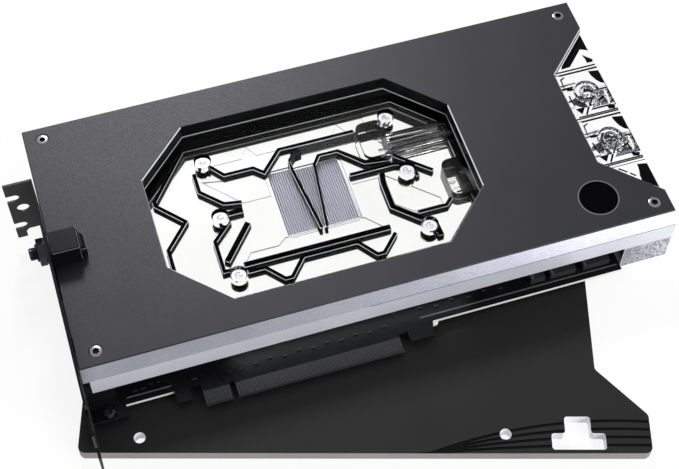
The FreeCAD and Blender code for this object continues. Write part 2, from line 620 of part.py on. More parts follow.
def make_cold_plate():
    owner = body("ColdPlate")
    outline = body_sketch(owner, "BaseOutline", level=SEAT)
    middle_x = "(cold_plate_left + cold_plate_right) / 2"
    middle_y = "(cold_plate_front + cold_plate_rear) / 2"
    add_polygon(outline, octagon(middle_x, middle_y, "cold_plate_right - cold_plate_left",
                                 "cold_plate_rear - cold_plate_front", "cold_plate_corner"))
    pad(owner, outline, "cold_plate_thick")
    bosses = body_sketch(owner, "BaseBosses")
    threads = body_sketch(owner, "BaseThreads")
    for x, y in from_point(BLOCK_SCREWS, "chip_x", "chip_y"):
        add_polygon(bosses, [(f"{x} + boss_radius * cos({60 * k}deg)",
                              f"{y} + boss_radius * sin({60 * k}deg)") for k in range(6)])
        add_circle(threads, x, y, "screw_radius + screw_clearance")
    pad(owner, bosses, SEAT)
    pocket(owner, threads, f"{SEAT} + cold_plate_thick / 2", upward=True)
    relief = body_sketch(owner, "ChokeRelief", level=SEAT)
    for side in (-1, 1):
        x = f"chip_x + {side} * choke_reach"
        add_polygon(relief, [(f"{x} + ({a}) * (choke_side / 2 + relief_gap)",
                              f"column_y + ({b}) * ({CHOKES} * choke_pitch / 2 + relief_gap)")
                             for a, b in ((-1, -1), (1, -1), (1, 1), (-1, 1))])
    pocket(owner, relief, f"choke_height + choke_pad - {SEAT}", upward=True)
    plenum = body_sketch(owner, "Plenum", level=FLOOR)
    half = "plenum_length / 2"
    low = "chip_y - plenum_front"
    add_polygon(plenum, [(f"chip_x - {half} + plenum_corner", low), (f"chip_x + {half} - plenum_corner", low),
                         (f"chip_x + {half}", f"{low} + plenum_corner"),
                         (f"chip_x + {half}", "chip_y + plenum_rear"),
                         (f"chip_x - {half}", "chip_y + plenum_rear"),
                         (f"chip_x - {half}", f"{low} + plenum_corner")])
    pocket(owner, plenum, "recess_depth")
    holes = body_sketch(owner, "BaseTaps", level=FLOOR)
    for x, y in screw_grid():
        add_circle(holes, x, y, "cap_shank + screw_clearance")
    pocket(owner, holes, "cap_bite + screw_clearance")
    gap = body_sketch(owner, "FinGap", level=FLOOR)
    left = "chip_x - fin_field_length / 2"
    low = "chip_y - fin_field_width / 2"
    high = f"{low} + fin_field_width"
    add_polygon(gap, [(left, low), (f"{left} + fin_gap", low), (f"{left} + fin_gap", high), (left, high)])
    first = pocket(owner, gap, "fin_depth")
    doc.recompute()
    before = first.Shape.Volume
    fins = owner.newObject("PartDesign::LinearPattern", "Fins")
    fins.Originals = [first]
    fins.Direction = (gap, ["H_Axis"])
    fins.Mode = "Spacing"
    bind(fins, {"Offset": "fin_pitch"})
    bind(fins, {"Occurrences": "fin_field_length / fin_pitch"})
    owner.Tip = fins
    doc.recompute()
    if fins.Shape.Volume >= before:
        raise RuntimeError("the fin gaps don't cut the cold plate")
    node(owner, "cold_plate")


def screw_grid():
    """Places of the acrylic screws: two columns of three."""
    return [(f"grid_x + ({a}) * grid_pitch_x / 2", f"grid_y + ({b}) * grid_pitch_y")
            for a in (-1, 1) for b in (-1, 0, 1)]


def mitres(points, closed):
    """Direction, for each point of a route, in which a band's edge leaves it: one unit per half width."""
    spots = [FreeCAD.Vector(x, y, 0) for x, y in points]
    runs = [(b - a).normalize() for a, b in zip(spots, spots[1:] + spots[:1])]
    result = []
    for i in range(len(spots)):
        before, after = runs[i - 1], runs[i]
        if not closed and i == 0:
            before = after
        if not closed and i == len(spots) - 1:
            after = before
        turn = FreeCAD.Vector(-(before.y + after.y), before.x + after.x, 0)
        result.append(turn * (2 / turn.dot(turn)))
    return result


def band_side(points, x, y, reach, closed=False):
    """Corners of one side of a band, at a reach from its route."""
    return [(f"{x} + ({dx}) + ({turn.x:.4f}) * ({reach})", f"{y} + ({dy}) + ({turn.y:.4f}) * ({reach})")
            for (dx, dy), turn in zip(points, mitres(points, closed))]


def raise_band(name, outlines):
    """Stand a flat band up from the floor of the block."""
    route = doc.addObject("Sketcher::SketchObject", name + "Outline")
    for outline in outlines:
        add_polygon(route, outline)
    solid = doc.addObject("Part::Extrusion", name)
    solid.Base = route
    solid.DirMode = "Custom"
    solid.Dir = FreeCAD.Vector(0, 0, 1)
    solid.Solid = True
    bind(solid, {"LengthFwd": "cord_height"})
    return move(solid, z=FLOOR)


def cord_solid(name, points, width):
    """Cord with mitred corners along a line on the floor of the block."""
    sides = [band_side(points, "chip_x", "chip_y", f"{sign}({width}) / 2") for sign in ("", "-")]
    return raise_band(name, [sides[0] + sides[1][::-1]])


def loop_solid(name, slack):
    """Closed cord round the wetted area, or its groove with some slack."""
    reach = f"(cord / 2 + {slack})"
    return raise_band(name, [band_side(LOOP, "window_x", "window_y", sign + reach, closed=True)
                             for sign in ("", "-")])


def make_cords():
    """Sealing cords on the floor, and the grooves that the acrylic has for them."""
    cords = []
    grooves = []
    for routes, width in ((THIN_CORDS, "thin_cord"), (CORDS, "cord"), (HEAVY_CORDS, "heavy_cord")):
        for name, points in routes.items():
            plain = name.title().replace("_", "")
            cords.append(cord_solid(plain, points, width))
            grooves.append(cord_solid(plain + "Groove", points, f"{width} + 2 * fit"))
    node(group("ChannelGaskets", cords), "channel_gaskets")
    node(group("OuterGasket", [loop_solid("OuterLoop", "0")]), "outer_gasket")
    return grooves + [loop_solid("OuterGroove", "fit")]


def riser(name, x, y):
    """Riser shaft with round corners in the underside of the acrylic."""
    owner = body(name)
    outline = body_sketch(owner, name + "Outline", level=FLOOR)
    add_polygon(outline, [(f"{x} + ({a}) * riser_length / 2", f"{y} + ({b}) * riser_width / 2")
                          for a, b in ((-1, -1), (1, -1), (1, 1), (-1, 1))])
    shaft = pad(owner, outline, "shaft_depth")
    dress(owner, "Fillet", shaft, "shaft_corner", straight_up)
    return owner


def make_acrylic(grooves):
    owner = body("AcrylicSlab")
    underside = f"{FLOOR} + seal_gap"
    outline = body_sketch(owner, "AcrylicOutline", level=underside)
    add_polygon(outline, octagon("(acrylic_left + acrylic_right) / 2", "(acrylic_front + acrylic_rear) / 2",
                                 "acrylic_right - acrylic_left", "acrylic_rear - acrylic_front",
                                 "acrylic_corner"))
    pad(owner, outline, "acrylic_thick - seal_gap")
    channel = body_sketch(owner, "FlowChannel", level=underside)
    add_polygon(channel, from_point(CHANNEL, "chip_x", "chip_y"))
    pocket(owner, channel, "channel_depth", upward=True)
    steps = body_sketch(owner, "FlowSteps", level=underside)
    for corners in STEPS:
        add_polygon(steps, from_point(corners, "chip_x", "chip_y"))
    pocket(owner, steps, "step_depth", upward=True)
    shanks = body_sketch(owner, "CapHoles", level=GLASS)
    sinks = body_sketch(owner, "CapSinks", level=GLASS)
    for x, y in screw_grid():
        add_circle(shanks, x, y, "cap_shank + screw_clearance")
        add_circle(sinks, x, y, "cap_radius + 3 * fit")
    pocket(owner, shanks, "acrylic_thick")
    pocket(owner, sinks, "cap_sink")
    tools = [riser("InletRiser", "riser_in_x", "riser_in_y"),
             riser("OutletRiser", "riser_out_x", "riser_out_y")]
    for name, x, y in (("In", "riser_in_x", "duct_in_y"), ("Out", "riser_out_x", "duct_out_y")):
        length = f"acrylic_right - {x} + spare"
        for side in (-1, 1):
            tools.append(cylinder(f"Duct{name}{side + 1}", x, f"{y} + {side} * duct_pitch / 2",
                                  f"{GLASS} - duct_drop", "duct_radius", length, axis="X"))
    node(cut("AcrylicTop", owner, tools + grooves), "acrylic_top")


def cover_screw_spots():
    return [(x, f"{MIDDLE} + ({side}) * ({MIDDLE} - cover_front - cover_screw_inset)")
            for x in ("cover_screw_left", "cover_screw_right") for side in (-1, 1)]


def make_cover():
    owner = body("Cover")
    outline = body_sketch(owner, "CoverOutline", level=UNDER)
    inner = "cover_right - notch_depth"
    add_polygon(outline, [("cover_left", "cover_front"), ("cover_right", "cover_front"),
                          ("cover_right", "notch_y - notch_flat / 2 - notch_depth"),
                          (inner, "notch_y - notch_flat / 2"), (inner, "notch_y + notch_flat / 2"),
                          ("cover_right", "notch_y + notch_flat / 2 + notch_depth"),
                          ("cover_right", "cover_rear"), ("cover_left", "cover_rear")])
    window = ("window_x", "window_y", "window_length", "window_width", "window_corner")
    add_polygon(outline, octagon(*window))
    for x, y in cover_screw_spots():
        add_circle(outline, x, y, "screw_radius + screw_clearance")
    sheet_metal = pad(owner, outline, "cover_thick")
    rim = dress(owner, "Chamfer", sheet_metal, "cover_bevel",
                lambda edge: flat_at(FACE)(edge) and edge.Length > value("notch_depth"))
    sunk = dress(owner, "Chamfer", rim, "sunk_radius - screw_radius",
                 lambda edge: flat_at(FACE)(edge) and edge.Closed)
    owner.Tip = sunk
    collar = body_sketch(owner, "Collar", level=GLASS)
    add_polygon(collar, octagon(*window))
    slack = "collar_wall * 2"
    # The bevel of the outer octagon keeps the wall even all round.
    add_polygon(collar, octagon("window_x", "window_y", f"window_length + {slack}", f"window_width + {slack}",
                                "(window_corner + collar_wall * (2 - sqrt(2)))"))
    pad(owner, collar, "collar_drop")
    badge = body_sketch(owner, "BadgeRecess", level=FACE)
    add_circle(badge, "badge_x", "badge_y", "badge_radius")
    pocket(owner, badge, "badge_depth")
    node(owner, "cover_plate")


def make_badge():
    base = f"{FACE} - badge_depth"
    outer = cylinder("RingOuter", "badge_x", "badge_y", base, "badge_radius - fit", "badge_depth")
    inner = cylinder("RingInner", "badge_x", "badge_y", base, "badge_radius - badge_rim", "badge_depth")
    node(cut("BadgeRing", outer, [inner]), "badge_ring")
    disc = cylinder("BadgeFace", "badge_x", "badge_y", base, "badge_radius - badge_rim - fit",
                    "badge_depth - badge_sink")
    node(group("BadgeDisc", [disc]), "badge_disc")


def make_rail(label, side):
    """Slanted silver rail under one long edge of the cover, drawn from the middle of the card."""
    half = f"({MIDDLE} - cover_front)"
    outer = f"({half} + rail_reach)"
    foot = f"{FACE} - rail_slope - rail_face"

    def spot(across, level):
        return (f"{MIDDLE} + ({side}) * ({across})", level)

    owner = body(label.title().replace("_", ""))
    section = body_sketch(owner, owner.Name + "Section", plane="YZ", level="cover_left")
    add_polygon(section, [
        spot(f"{half} + fit", f"{FACE} - cover_bevel"), spot(outer, f"{FACE} - rail_slope"),
        spot(outer, foot), spot(f"{outer} - rail_wall", foot), spot(f"{outer} - rail_wall", GLASS),
        spot(f"{half} - rail_ledge", GLASS), spot(f"{half} - rail_ledge", UNDER),
        spot(f"{half} + fit", UNDER)])
    pad(owner, section, "cover_right - cover_left")
    end = body_sketch(owner, owner.Name + "End", plane="YZ", level="cover_left")
    near, far, fold = f"{outer} - rail_wall", f"{outer} + spare", f"{FACE} - rail_slope"
    add_polygon(end, [spot(near, f"{foot} - spare"), spot(far, f"{foot} - spare"), spot(far, fold),
                      spot(near, fold)])
    pocket(owner, end, "rail_inset", upward=True)
    holes = body_sketch(owner, owner.Name + "Holes", level=UNDER)
    for x, y in cover_screw_spots():
        if (value(y) > value(MIDDLE)) == (side > 0):
            add_circle(holes, x, y, "screw_radius + screw_clearance")
    pocket(owner, holes, "collar_drop")
    node(owner, label)


def make_terminal():
    half = f"({MIDDLE} - cover_front)"
    outer = f"({half} + rail_reach)"
    foot = f"{FACE} - rail_slope - rail_face - fit"
    owner = body("Terminal")
    section = body_sketch(owner, "TerminalSection", plane="YZ", level="acrylic_right")

    def half_outline(side):
        across = [(outer, "terminal_low"), (outer, foot), (f"{outer} - rail_wall - fit", foot),
                  (f"{outer} - rail_wall - fit", GLASS), (f"{half} - rail_ledge - fit", GLASS),
                  (f"{half} - rail_ledge - fit", UNDER)]
        return [(f"{MIDDLE} + ({side}) * ({a})", z) for a, z in across]

    add_polygon(section, half_outline(-1) + half_outline(1)[::-1])
    pad(owner, section, f"{TERMINAL_END} - acrylic_right")
    ports = [f"terminal_y + ({k}) * port_pitch" for k in (-0.5, 0.5)]
    duct_level = f"{GLASS} - duct_drop"
    mouths = body_sketch(owner, "PortMouths", plane="YZ", level=TERMINAL_END)
    for y in ports:
        add_circle(mouths, y, "port_z", "port_radius")
    pocket(owner, mouths, "port_depth")
    tools = [cylinder(f"Chamber{i}", "chamber_x", y, "chamber_low", "chamber_radius", "chamber_tall")
             for i, y in enumerate(ports)]
    passages = body_sketch(owner, "Passages", plane="YZ", level="acrylic_right")
    reach = "(passage_length - passage_height) / 2"
    for y in ("duct_in_y", "duct_out_y"):
        add_slot(passages, (f"{y} - {reach}", duct_level), (f"{y} + {reach}", duct_level),
                 "passage_height / 2")
    pocket(owner, passages, "chamber_x - acrylic_right", upward=True)
    grooves = body_sketch(owner, "RingGrooves", plane="YZ", level="acrylic_right")
    for y in ("duct_in_y", "duct_out_y"):
        add_slot(grooves, (f"{y} - {reach}", duct_level), (f"{y} + {reach}", duct_level),
                 "passage_height / 2 + ring_wall")
    pocket(owner, grooves, "ring_wall", upward=True)
    seams = body_sketch(owner, "ModuleSeams", level=UNDER)
    for k in (-1, 0, 1):
        y = f"terminal_y + ({k}) * port_pitch"
        add_polygon(seams, rectangle("acrylic_right", TERMINAL_END, f"{y} - seam_width / 2",
                                     f"{y} + seam_width / 2"))
    pocket(owner, seams, "seam_depth")
    node(cut("TerminalBlock", owner, tools), "terminal_block")
    rings = []
    for name, y in (("In", "duct_in_y"), ("Out", "duct_out_y")):
        ring = body(f"Ring{name}")
        profile = body_sketch(ring, f"Ring{name}Profile", plane="YZ", level="acrylic_right")
        ends = ((f"{y} - {reach}", duct_level), (f"{y} + {reach}", duct_level))
        add_slot(profile, *ends, "passage_height / 2 + ring_wall")
        add_slot(profile, *ends, "passage_height / 2")
        pad(ring, profile, "ring_wall")
        rings.append(ring)
    node(group("TerminalRings", rings), "terminal_rings")


def make_bracket():
    owner = body("Bracket")
    sheet_face = body_sketch(owner, "BracketSheet", plane="YZ")
    high = "bracket_low_z + bracket_width"
    gap_low = "tongue_z + tongue_width / 2"
    gap_high = "tongue_z + slot_pitch - tongue_width / 2"
    add_polygon(sheet_face, [
        ("bracket_top + bracket_thick", "bracket_low_z"), ("bracket_top + bracket_thick", high),
        ("bracket_shoulder", high), ("bracket_shoulder", f"{gap_high} + tongue_width"),
        ("tongue_tip", f"{gap_high} + tongue_width"), ("tongue_tip", gap_high),
        ("bracket_shoulder", gap_high),
        ("bracket_shoulder", gap_low), ("tongue_tip", gap_low), ("tongue_tip", f"{gap_low} - tongue_width"),
        ("bracket_shoulder", f"{gap_low} - tongue_width"), ("bracket_shoulder", "bracket_low_z")])
    pad(owner, sheet_face, "bracket_thick")
    flange = body_sketch(owner, "Flange", plane="XZ", level="-(bracket_top + bracket_thick)")
    add_polygon(flange, [("bracket_thick", high), ("-flange_depth", high), ("-flange_depth", "bracket_low_z"),
                         ("flange_tab - flange_depth", "bracket_low_z"),
                         ("flange_tab - flange_depth", "bracket_low_z + flange_cut - flange_bevel"),
                         ("flange_tab - flange_depth + flange_bevel", "bracket_low_z + flange_cut"),
                         ("bracket_thick", "bracket_low_z + flange_cut")])
    add_circle(flange, "flange_hole_x", "flange_hole_z", "flange_hole_radius")
    pad(owner, flange, "bracket_thick")
    slots = body_sketch(owner, "FlangeSlots", plane="XZ", level="-(bracket_top + bracket_thick)")
    for step in (0, 1):
        z = f"flange_slot_z + {step} * slot_pitch"
        add_slot(slots, ("-flange_depth - flange_slot_width", z),
                 ("flange_slot_depth - flange_depth - flange_slot_width / 2", z), "flange_slot_width / 2")
    pocket(owner, slots, "bracket_thick", upward=True)
    lugs = body_sketch(owner, "Lugs")
    for y in ("lug_front_y", "lug_rear_y"):
        add_polygon(lugs, rectangle("bracket_thick / 2", "lug_length", f"{y} - lug_width / 2",
                                    f"{y} + lug_width / 2"))
        add_circle(lugs, "lug_screw_x", y, "screw_radius + screw_clearance")
    pad(owner, lugs, "bracket_thick")
    openings = body_sketch(owner, "BracketOpenings", plane="YZ")
    for y, width in socket_rows():
        across = f"({width}) / 2 + fit"
        add_polygon(openings, rectangle(f"{y} - ({across})", f"{y} + {across}", "-fit",
                                        "socket_height + fit"))
    add_circle(openings, "switch_y", f"{FACE} + switch_rise", "bush_radius + fit")
    pocket(owner, openings, "bracket_thick", upward=True)
    vents = body_sketch(owner, "Vents", plane="YZ")
    for bank in (0, 1):
        for step in range(VENTS):
            y, z = f"vent_y + {bank} * vent_row", f"vent_z + {step} * vent_pitch"
            add_polygon(vents, rectangle(f"{y} - vent_length / 2", f"{y} + vent_length / 2",
                                         f"{z} - vent_width / 2", f"{z} + vent_width / 2"))
    pocket(owner, vents, "bracket_thick", upward=True)
    node(owner, "io_bracket")


def socket_rows():
    """Middle and width of the four display sockets."""
    rows = [(f"socket_first + {i} * socket_pitch", "socket_width") for i in range(3)]
    return rows + [("socket_first + 3 * socket_pitch - 1", "hdmi_width")]


def make_sockets():
    shells = []
    for i, (y, width) in enumerate(socket_rows()):
        low = f"{y} - ({width}) / 2"
        outer = box(f"Shell{i}", "-socket_proud", low, "0", "socket_depth", width, "socket_height")
        inner = box(f"Mouth{i}", "-socket_proud - spare", f"{low} + socket_wall", "socket_wall",
                    "socket_depth + spare - socket_back", f"{width} - 2 * socket_wall",
                    "socket_height - 2 * socket_wall")
        blade = box(f"Blade{i}", "socket_proud", f"{low} + tongue_inset",
                    "(socket_height - tongue_thick) / 2", "socket_depth - socket_back",
                    f"{width} - 2 * tongue_inset", "tongue_thick")
        shells.append(fuse(f"Socket{i}", [cut(f"SocketShell{i}", outer, [inner]), blade]))
    node(group("DisplaySockets", shells[:3]), "display_sockets")
    node(shells[3], "hdmi_socket")


def make_switch():
    axis = f"{FACE} + switch_rise"
    owner = body("SwitchHousing")
    outline = body_sketch(owner, "SwitchOutline", plane="YZ", level="bracket_thick")
    low = f"{axis} - switch_height / 2"
    add_polygon(outline, rectangle("switch_y - switch_width / 2", "switch_y + switch_width / 2", low,
                                   f"{low} + switch_height"))
    block = pad(owner, outline, "switch_length")
    dress(owner, "Fillet", block, "switch_round",
          lambda edge: edge.CenterOfMass.x > value("bracket_thick") + 0.1)
    bush = body_sketch(owner, "Bush", plane="YZ", level="-bush_reach")
    add_circle(bush, "switch_y", axis, "bush_radius")
    pad(owner, bush, "bush_reach + bracket_thick")
    bore = body_sketch(owner, "BushBore", plane="YZ", level="-bush_reach")
    add_circle(bore, "switch_y", axis, "button_radius + fit")
    pocket(owner, bore, "bush_reach + button_buried + button_travel + spare", upward=True)
    node(owner, "switch_housing")

    boot = body("SwitchBoot")
    shape = body_sketch(boot, "BootOutline", plane="YZ", level="bracket_thick + switch_length")
    across = "(switch_width / 2 - switch_round)"
    add_polygon(shape, rectangle(f"switch_y - {across}", f"switch_y + {across}", low,
                                 f"{low} + boot_height"))
    cap = pad(boot, shape, "boot_length")
    dress(boot, "Chamfer", cap, "2 * switch_round",
          lambda edge: edge.CenterOfMass.x > value("bracket_thick + switch_length") + 0.1
          and edge.CenterOfMass.z > value(low) + 0.1)
    node(boot, "switch_boot")

    washer = cut("SwitchWasher", cylinder("WasherOuter", "-washer_thick", "switch_y", axis, "washer_radius",
                                          "washer_thick", axis="X"),
                 [cylinder("WasherHole", "-washer_thick", "switch_y", axis, "bush_radius + fit",
                           "washer_thick", axis="X")])
    node(washer, "switch_washer")
    nut = cut("SwitchNut", hexagon("NutBlank", "-washer_thick - nut_thick", "switch_y", axis,
                                   "nut_flat / sqrt(3)", "nut_thick", axis="X"),
              [cylinder("NutHole", "-washer_thick - nut_thick", "switch_y", axis, "bush_radius + fit",
                        "nut_thick", axis="X")])
    node(nut, "switch_nut")

    button = body("Button")
    stem = body_sketch(button, "ButtonSection", plane="YZ", level="-button_reach")
    add_circle(stem, "switch_y", axis, "button_radius")
    rod = pad(button, stem, "button_reach + button_buried")
    dress(button, "Chamfer", rod, "4 * fit",
          lambda edge: edge.Closed and edge.CenterOfMass.x < -value("button_reach") + 0.1)
    node(button, "push_button")


def make_block_screws():
    """Screws from under the board into the base, on whose heads the card rests on its backplate."""
    screws = []
    for i, (x, y) in enumerate(from_point(BLOCK_SCREWS, "chip_x", "chip_y")):
        head = hexagon(f"BlockHead{i}", x, y, "-board_thick - screw_head", "head_radius", "screw_head")
        shank = cylinder(f"BlockShank{i}", x, y, "-board_thick", "screw_radius",
                         f"board_thick + {SEAT} + cold_plate_thick / 2 - screw_clearance")
        screws.append(fuse(f"BlockScrew{i}", [head, shank]))
    node(group("BlockScrews", screws), "block_screws")


def make_backplate():
    """Backplate in its own frame: U along the front edge, V towards the rear, underside at zero."""
    owner = body("Backplate")
    side = "plate_length - plate_step"
    corners = [("0", "0"), ("plate_length", "0"), ("plate_length", "plate_step_v"),
               (side, "plate_step_v + plate_slant"), (side, "plate_depth"), ("0", "plate_depth")]
    outline = body_sketch(owner, "PlateOutline")
    add_polygon(outline, corners)
    slab = pad(owner, outline, "plate_thick")
    dress(owner, "Fillet", slab, "plate_round", straight_up)
    hollow = body_sketch(owner, "PlateHollow")
    rim = "plate_rim"
    deep = "plate_step_v + plate_slant"
    add_polygon(hollow, [(rim, "cutout_v + cutout_tall + plate_rim"),
                         (f"{side} - {rim}", "cutout_v + cutout_tall + plate_rim"),
                         (f"{side} - {rim}", f"plate_depth - {rim}"),
                         (rim, f"plate_depth - {rim}")])
    pocket(owner, hollow, "plate_thick - plate_skin", upward=True)
    holes = body_sketch(owner, "PlateHoles")
    add_circle(holes, "plate_hole_left_u", "plate_hole_left_v", "plate_hole_radius")
    add_circle(holes, "plate_length - plate_hole_right_inset", "plate_hole_right_v", "plate_hole_radius")
    pocket(owner, holes, "plate_thick", upward=True)
    tee = body_sketch(owner, "PlateTee")
    bar, stem, tee_u = "cutout_bar / 2", "cutout_stem / 2", "plate_length - cutout_inset"
    add_polygon(tee, [(f"{tee_u} - {bar}", "cutout_v"), (f"{tee_u} + {bar}", "cutout_v"),
                      (f"{tee_u} + {bar}", "cutout_v + cutout_bar_v"),
                      (f"{tee_u} + {stem}", "cutout_v + cutout_bar_v"),
                      (f"{tee_u} + {stem}", "cutout_v + cutout_tall"),
                      (f"{tee_u} - {stem}", "cutout_v + cutout_tall"),
                      (f"{tee_u} - {stem}", "cutout_v + cutout_bar_v"),
                      (f"{tee_u} - {bar}", "cutout_v + cutout_bar_v")])
    opened = pocket(owner, tee, "plate_thick", upward=True)
    left, right = value(f"{tee_u} - {bar}"), value(f"{tee_u} + {bar}")
    high = value("cutout_v + cutout_tall")
    low = value("cutout_v")
    dress(owner, "Fillet", opened, "cutout_round",
          lambda edge: straight_up(edge) and left - 0.1 < edge.CenterOfMass.x < right + 0.1
          and low - 0.1 < edge.CenterOfMass.y < high + 0.1)
    lines = body_sketch(owner, "PlateLines", level="plate_thick")
    for step in range(1, GROOVES + 1):
        rise = f"({step} * line_rise)"
        radius = f"((line_run * line_run + {rise} * {rise}) / (2 * {rise}))"
        for edge in ("-", "+"):
            add_circle(lines, "plate_length - line_top_inset", f"{rise} - {radius}",
                       f"{radius} {edge} line_width / 2")
    groove = pocket(owner, lines, "line_depth")
    doc.recompute()
    if groove.Shape.Volume >= opened.Shape.Volume:
        raise RuntimeError("the styling grooves don't cut the backplate")
    owner.Label = "backplate"
    owner.Placement.Rotation = FreeCAD.Rotation(FreeCAD.Vector(0, 0, 1), 0)
    bind(owner, {"Placement.Rotation.Angle": "-plate_turn"})
    move(owner, f"{FRAME_X} + plate_x", f"{FRAME_Y} + plate_y", "0")
    NODES.append(owner)


def export():
    """Check every object, then write one file for each node."""
    doc.recompute()
    for thing in doc.Objects:
        if {"Invalid", "Error"} & set(thing.State):
            raise RuntimeError(f"{thing.Name} is {thing.State}")
    os.makedirs("parts", exist_ok=True)
    for thing in NODES:
        shape = thing.Shape
        if shape.isNull() or not shape.isValid() or not shape.Solids:
            raise RuntimeError(f"{thing.Label} has no valid shape")
        shape.exportStep(f"parts/{thing.Label}.step")
        bounds = shape.BoundBox
        spans = [f"{low:8.2f}..{high:.2f}" for low, high in (
            (bounds.XMin, bounds.XMax), (bounds.YMin, bounds.YMax), (bounds.ZMin, bounds.ZMax))]
        print(f"{thing.Label:18s} {len(shape.Solids):2d} {shape.Volume:10.1f}", *spans)


make_circuit_board()
make_board_chips()
make_power_parts()
make_cold_plate()
make_acrylic(make_cords())
make_cover()
make_badge()
make_rail("front_rail", -1)
make_rail("rear_rail", 1)
make_terminal()
make_bracket()
make_sockets()
make_switch()
make_block_screws()
make_backplate()
export()
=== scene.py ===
"""Dresses a full-cover graphics card cooling block in its finishes and sets the studio round it.

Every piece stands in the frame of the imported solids: metres, +X along the card from the slot bracket
to the port terminal, +Y towards the rear long edge and +Z out of the cover. Sizes in the classes are
millimetres in the card frame: bracket face, tips of the fingers, component face of the board.
"""

import json
import logging
import math
from dataclasses import dataclass, field
from enum import Enum
from typing import Callable, ClassVar, Iterable

import bmesh
import bpy
from mathutils import Matrix, Vector
from mathutils.bvhtree import BVHTree

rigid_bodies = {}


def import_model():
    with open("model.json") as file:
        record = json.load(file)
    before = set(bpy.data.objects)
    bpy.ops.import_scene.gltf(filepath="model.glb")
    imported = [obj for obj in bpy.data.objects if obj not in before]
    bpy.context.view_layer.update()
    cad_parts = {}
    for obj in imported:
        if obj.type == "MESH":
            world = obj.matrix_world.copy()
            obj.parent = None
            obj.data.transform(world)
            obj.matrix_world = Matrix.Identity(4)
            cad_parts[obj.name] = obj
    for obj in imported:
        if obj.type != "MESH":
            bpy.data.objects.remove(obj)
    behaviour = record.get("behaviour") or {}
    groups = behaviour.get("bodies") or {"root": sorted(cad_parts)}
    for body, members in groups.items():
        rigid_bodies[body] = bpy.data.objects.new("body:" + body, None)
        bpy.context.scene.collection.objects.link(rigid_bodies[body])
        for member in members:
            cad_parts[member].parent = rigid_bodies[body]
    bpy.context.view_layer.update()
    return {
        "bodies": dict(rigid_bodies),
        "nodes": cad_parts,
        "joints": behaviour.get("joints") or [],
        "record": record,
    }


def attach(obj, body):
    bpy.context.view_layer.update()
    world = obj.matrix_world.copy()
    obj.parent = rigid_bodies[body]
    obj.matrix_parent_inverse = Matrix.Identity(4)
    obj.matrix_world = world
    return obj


LOG = logging.getLogger("water_block")
MM = 0.001
# Corner of the card frame in the part's frame
CARD = Vector((-122.6, -35.472, 9.5)) * MM
# Levels over the board: floor of the block, top of the acrylic, underside and face of the cover
FLOOR, GLASS, UNDER, FACE = 9.0, 19.0, 23.0, 26.0
# Window in the cover: its middle, its size and the cut of its corners
WINDOW_MIDDLE, WINDOW_SIZE, WINDOW_CORNER = (114.5, 75.5), (137.8, 90.0), 22.5
# Columns and rows of the acrylic's screws, and middles of the terminal's two modules along Y
SCREW_X, SCREW_Y, MODULE_Y = (73.4, 157.4), (45.5, 75.5, 105.5), (61.5, 88.5)
# How far the cut of a corner shrinks with an inset of one
MITRE = 0.586
Socket = bpy.types.NodeSocket
Vert, Edge, Face = bmesh.types.BMVert, bmesh.types.BMEdge, bmesh.types.BMFace


def card(x: float, y: float, z: float) -> Vector:
    """Point of the card frame, in millimetres, as a point of the part's frame."""
    return CARD + Vector((x, y, z)) * MM


def linear(hex_code: str) -> tuple[float, float, float, float]:
    """Turn an sRGB hex colour into linear light.

    Args:
        hex_code: Six hex digits after a hash sign.

    Returns:
        Red, green, blue and an alpha of one.
    """
    parts = [int(hex_code[i:i + 2], 16) / 255 for i in (1, 3, 5)]
    return (*(p / 12.92 if p <= 0.04045 else ((p + 0.055) / 1.055) ** 2.4 for p in parts), 1.0)


def picked(found: Iterable, kind: type) -> list:
    """Those elements of a bmesh operator's result that are of one kind."""
    return [item for item in found if isinstance(item, kind)]


def empty_tree(owner: bpy.types.Material | bpy.types.World) -> bpy.types.NodeTree:
    """Node tree of a material or world, cleared."""
    owner.use_nodes = True
    owner.node_tree.nodes.clear()
    return owner.node_tree


def add(tree: bpy.types.NodeTree, kind: str, settings: dict | None = None, **links: object) -> bpy.types.Node:
    """Add one node, set its properties, and fill or link its inputs.

    Args:
        tree: Node tree that gets the node.
        kind: Blender's name of the node type, without ShaderNode before it.
        settings: Properties of the node.
        links: Input name, with underscores for spaces, or i and a number for its place, to a value or a socket.

    Returns:
        The new node.
    """
    made = tree.nodes.new("ShaderNode" + kind)
    for key, value in (settings or {}).items():
        setattr(made, key, value)
    for key, value in links.items():
        place = int(key[1:]) if key[0] == "i" and key[1:].isdigit() else key.replace("_", " ")
        if isinstance(value, Socket):
            tree.links.new(value, made.inputs[place])
        else:
            made.inputs[place].default_value = value
    return made


class Surface(Enum):
    """How a surface was made, which decides its fine pattern."""

    BLASTED = "bead blasted"
    BRUSHED = "brushed along its length"
    PLATED = "milled and bright plated"
    TURNED = "turned and polished"
    MOULDED = "moulded"
    COATED = "powder coated"
    LAMINATE = "solder mask over traces"
    SKIVED = "thin fins, skived"
    CLEAR = "milled and polished clear"
    DRILLED = "drilled through clear stock"
    TAPPED = "tapped into clear stock"


@dataclass(frozen=True)
class Finish:
    """One real material with the way its surface was made."""

    name: str
    colour: str
    shade: str
    surface: Surface
    metallic: float
    roughness: float
    grain_mm: float
    relief_mm: float = 0.01
    ior: float = 1.5
    sheen: float = 0.5
    speck: float = 0.35
    speck_mm: float = 0.6

    def material(self) -> bpy.types.Material:
        """Give the Blender material of this finish, made once."""
        found = bpy.data.materials.get(self.name)
        return found or FinishBuilder(self).build()


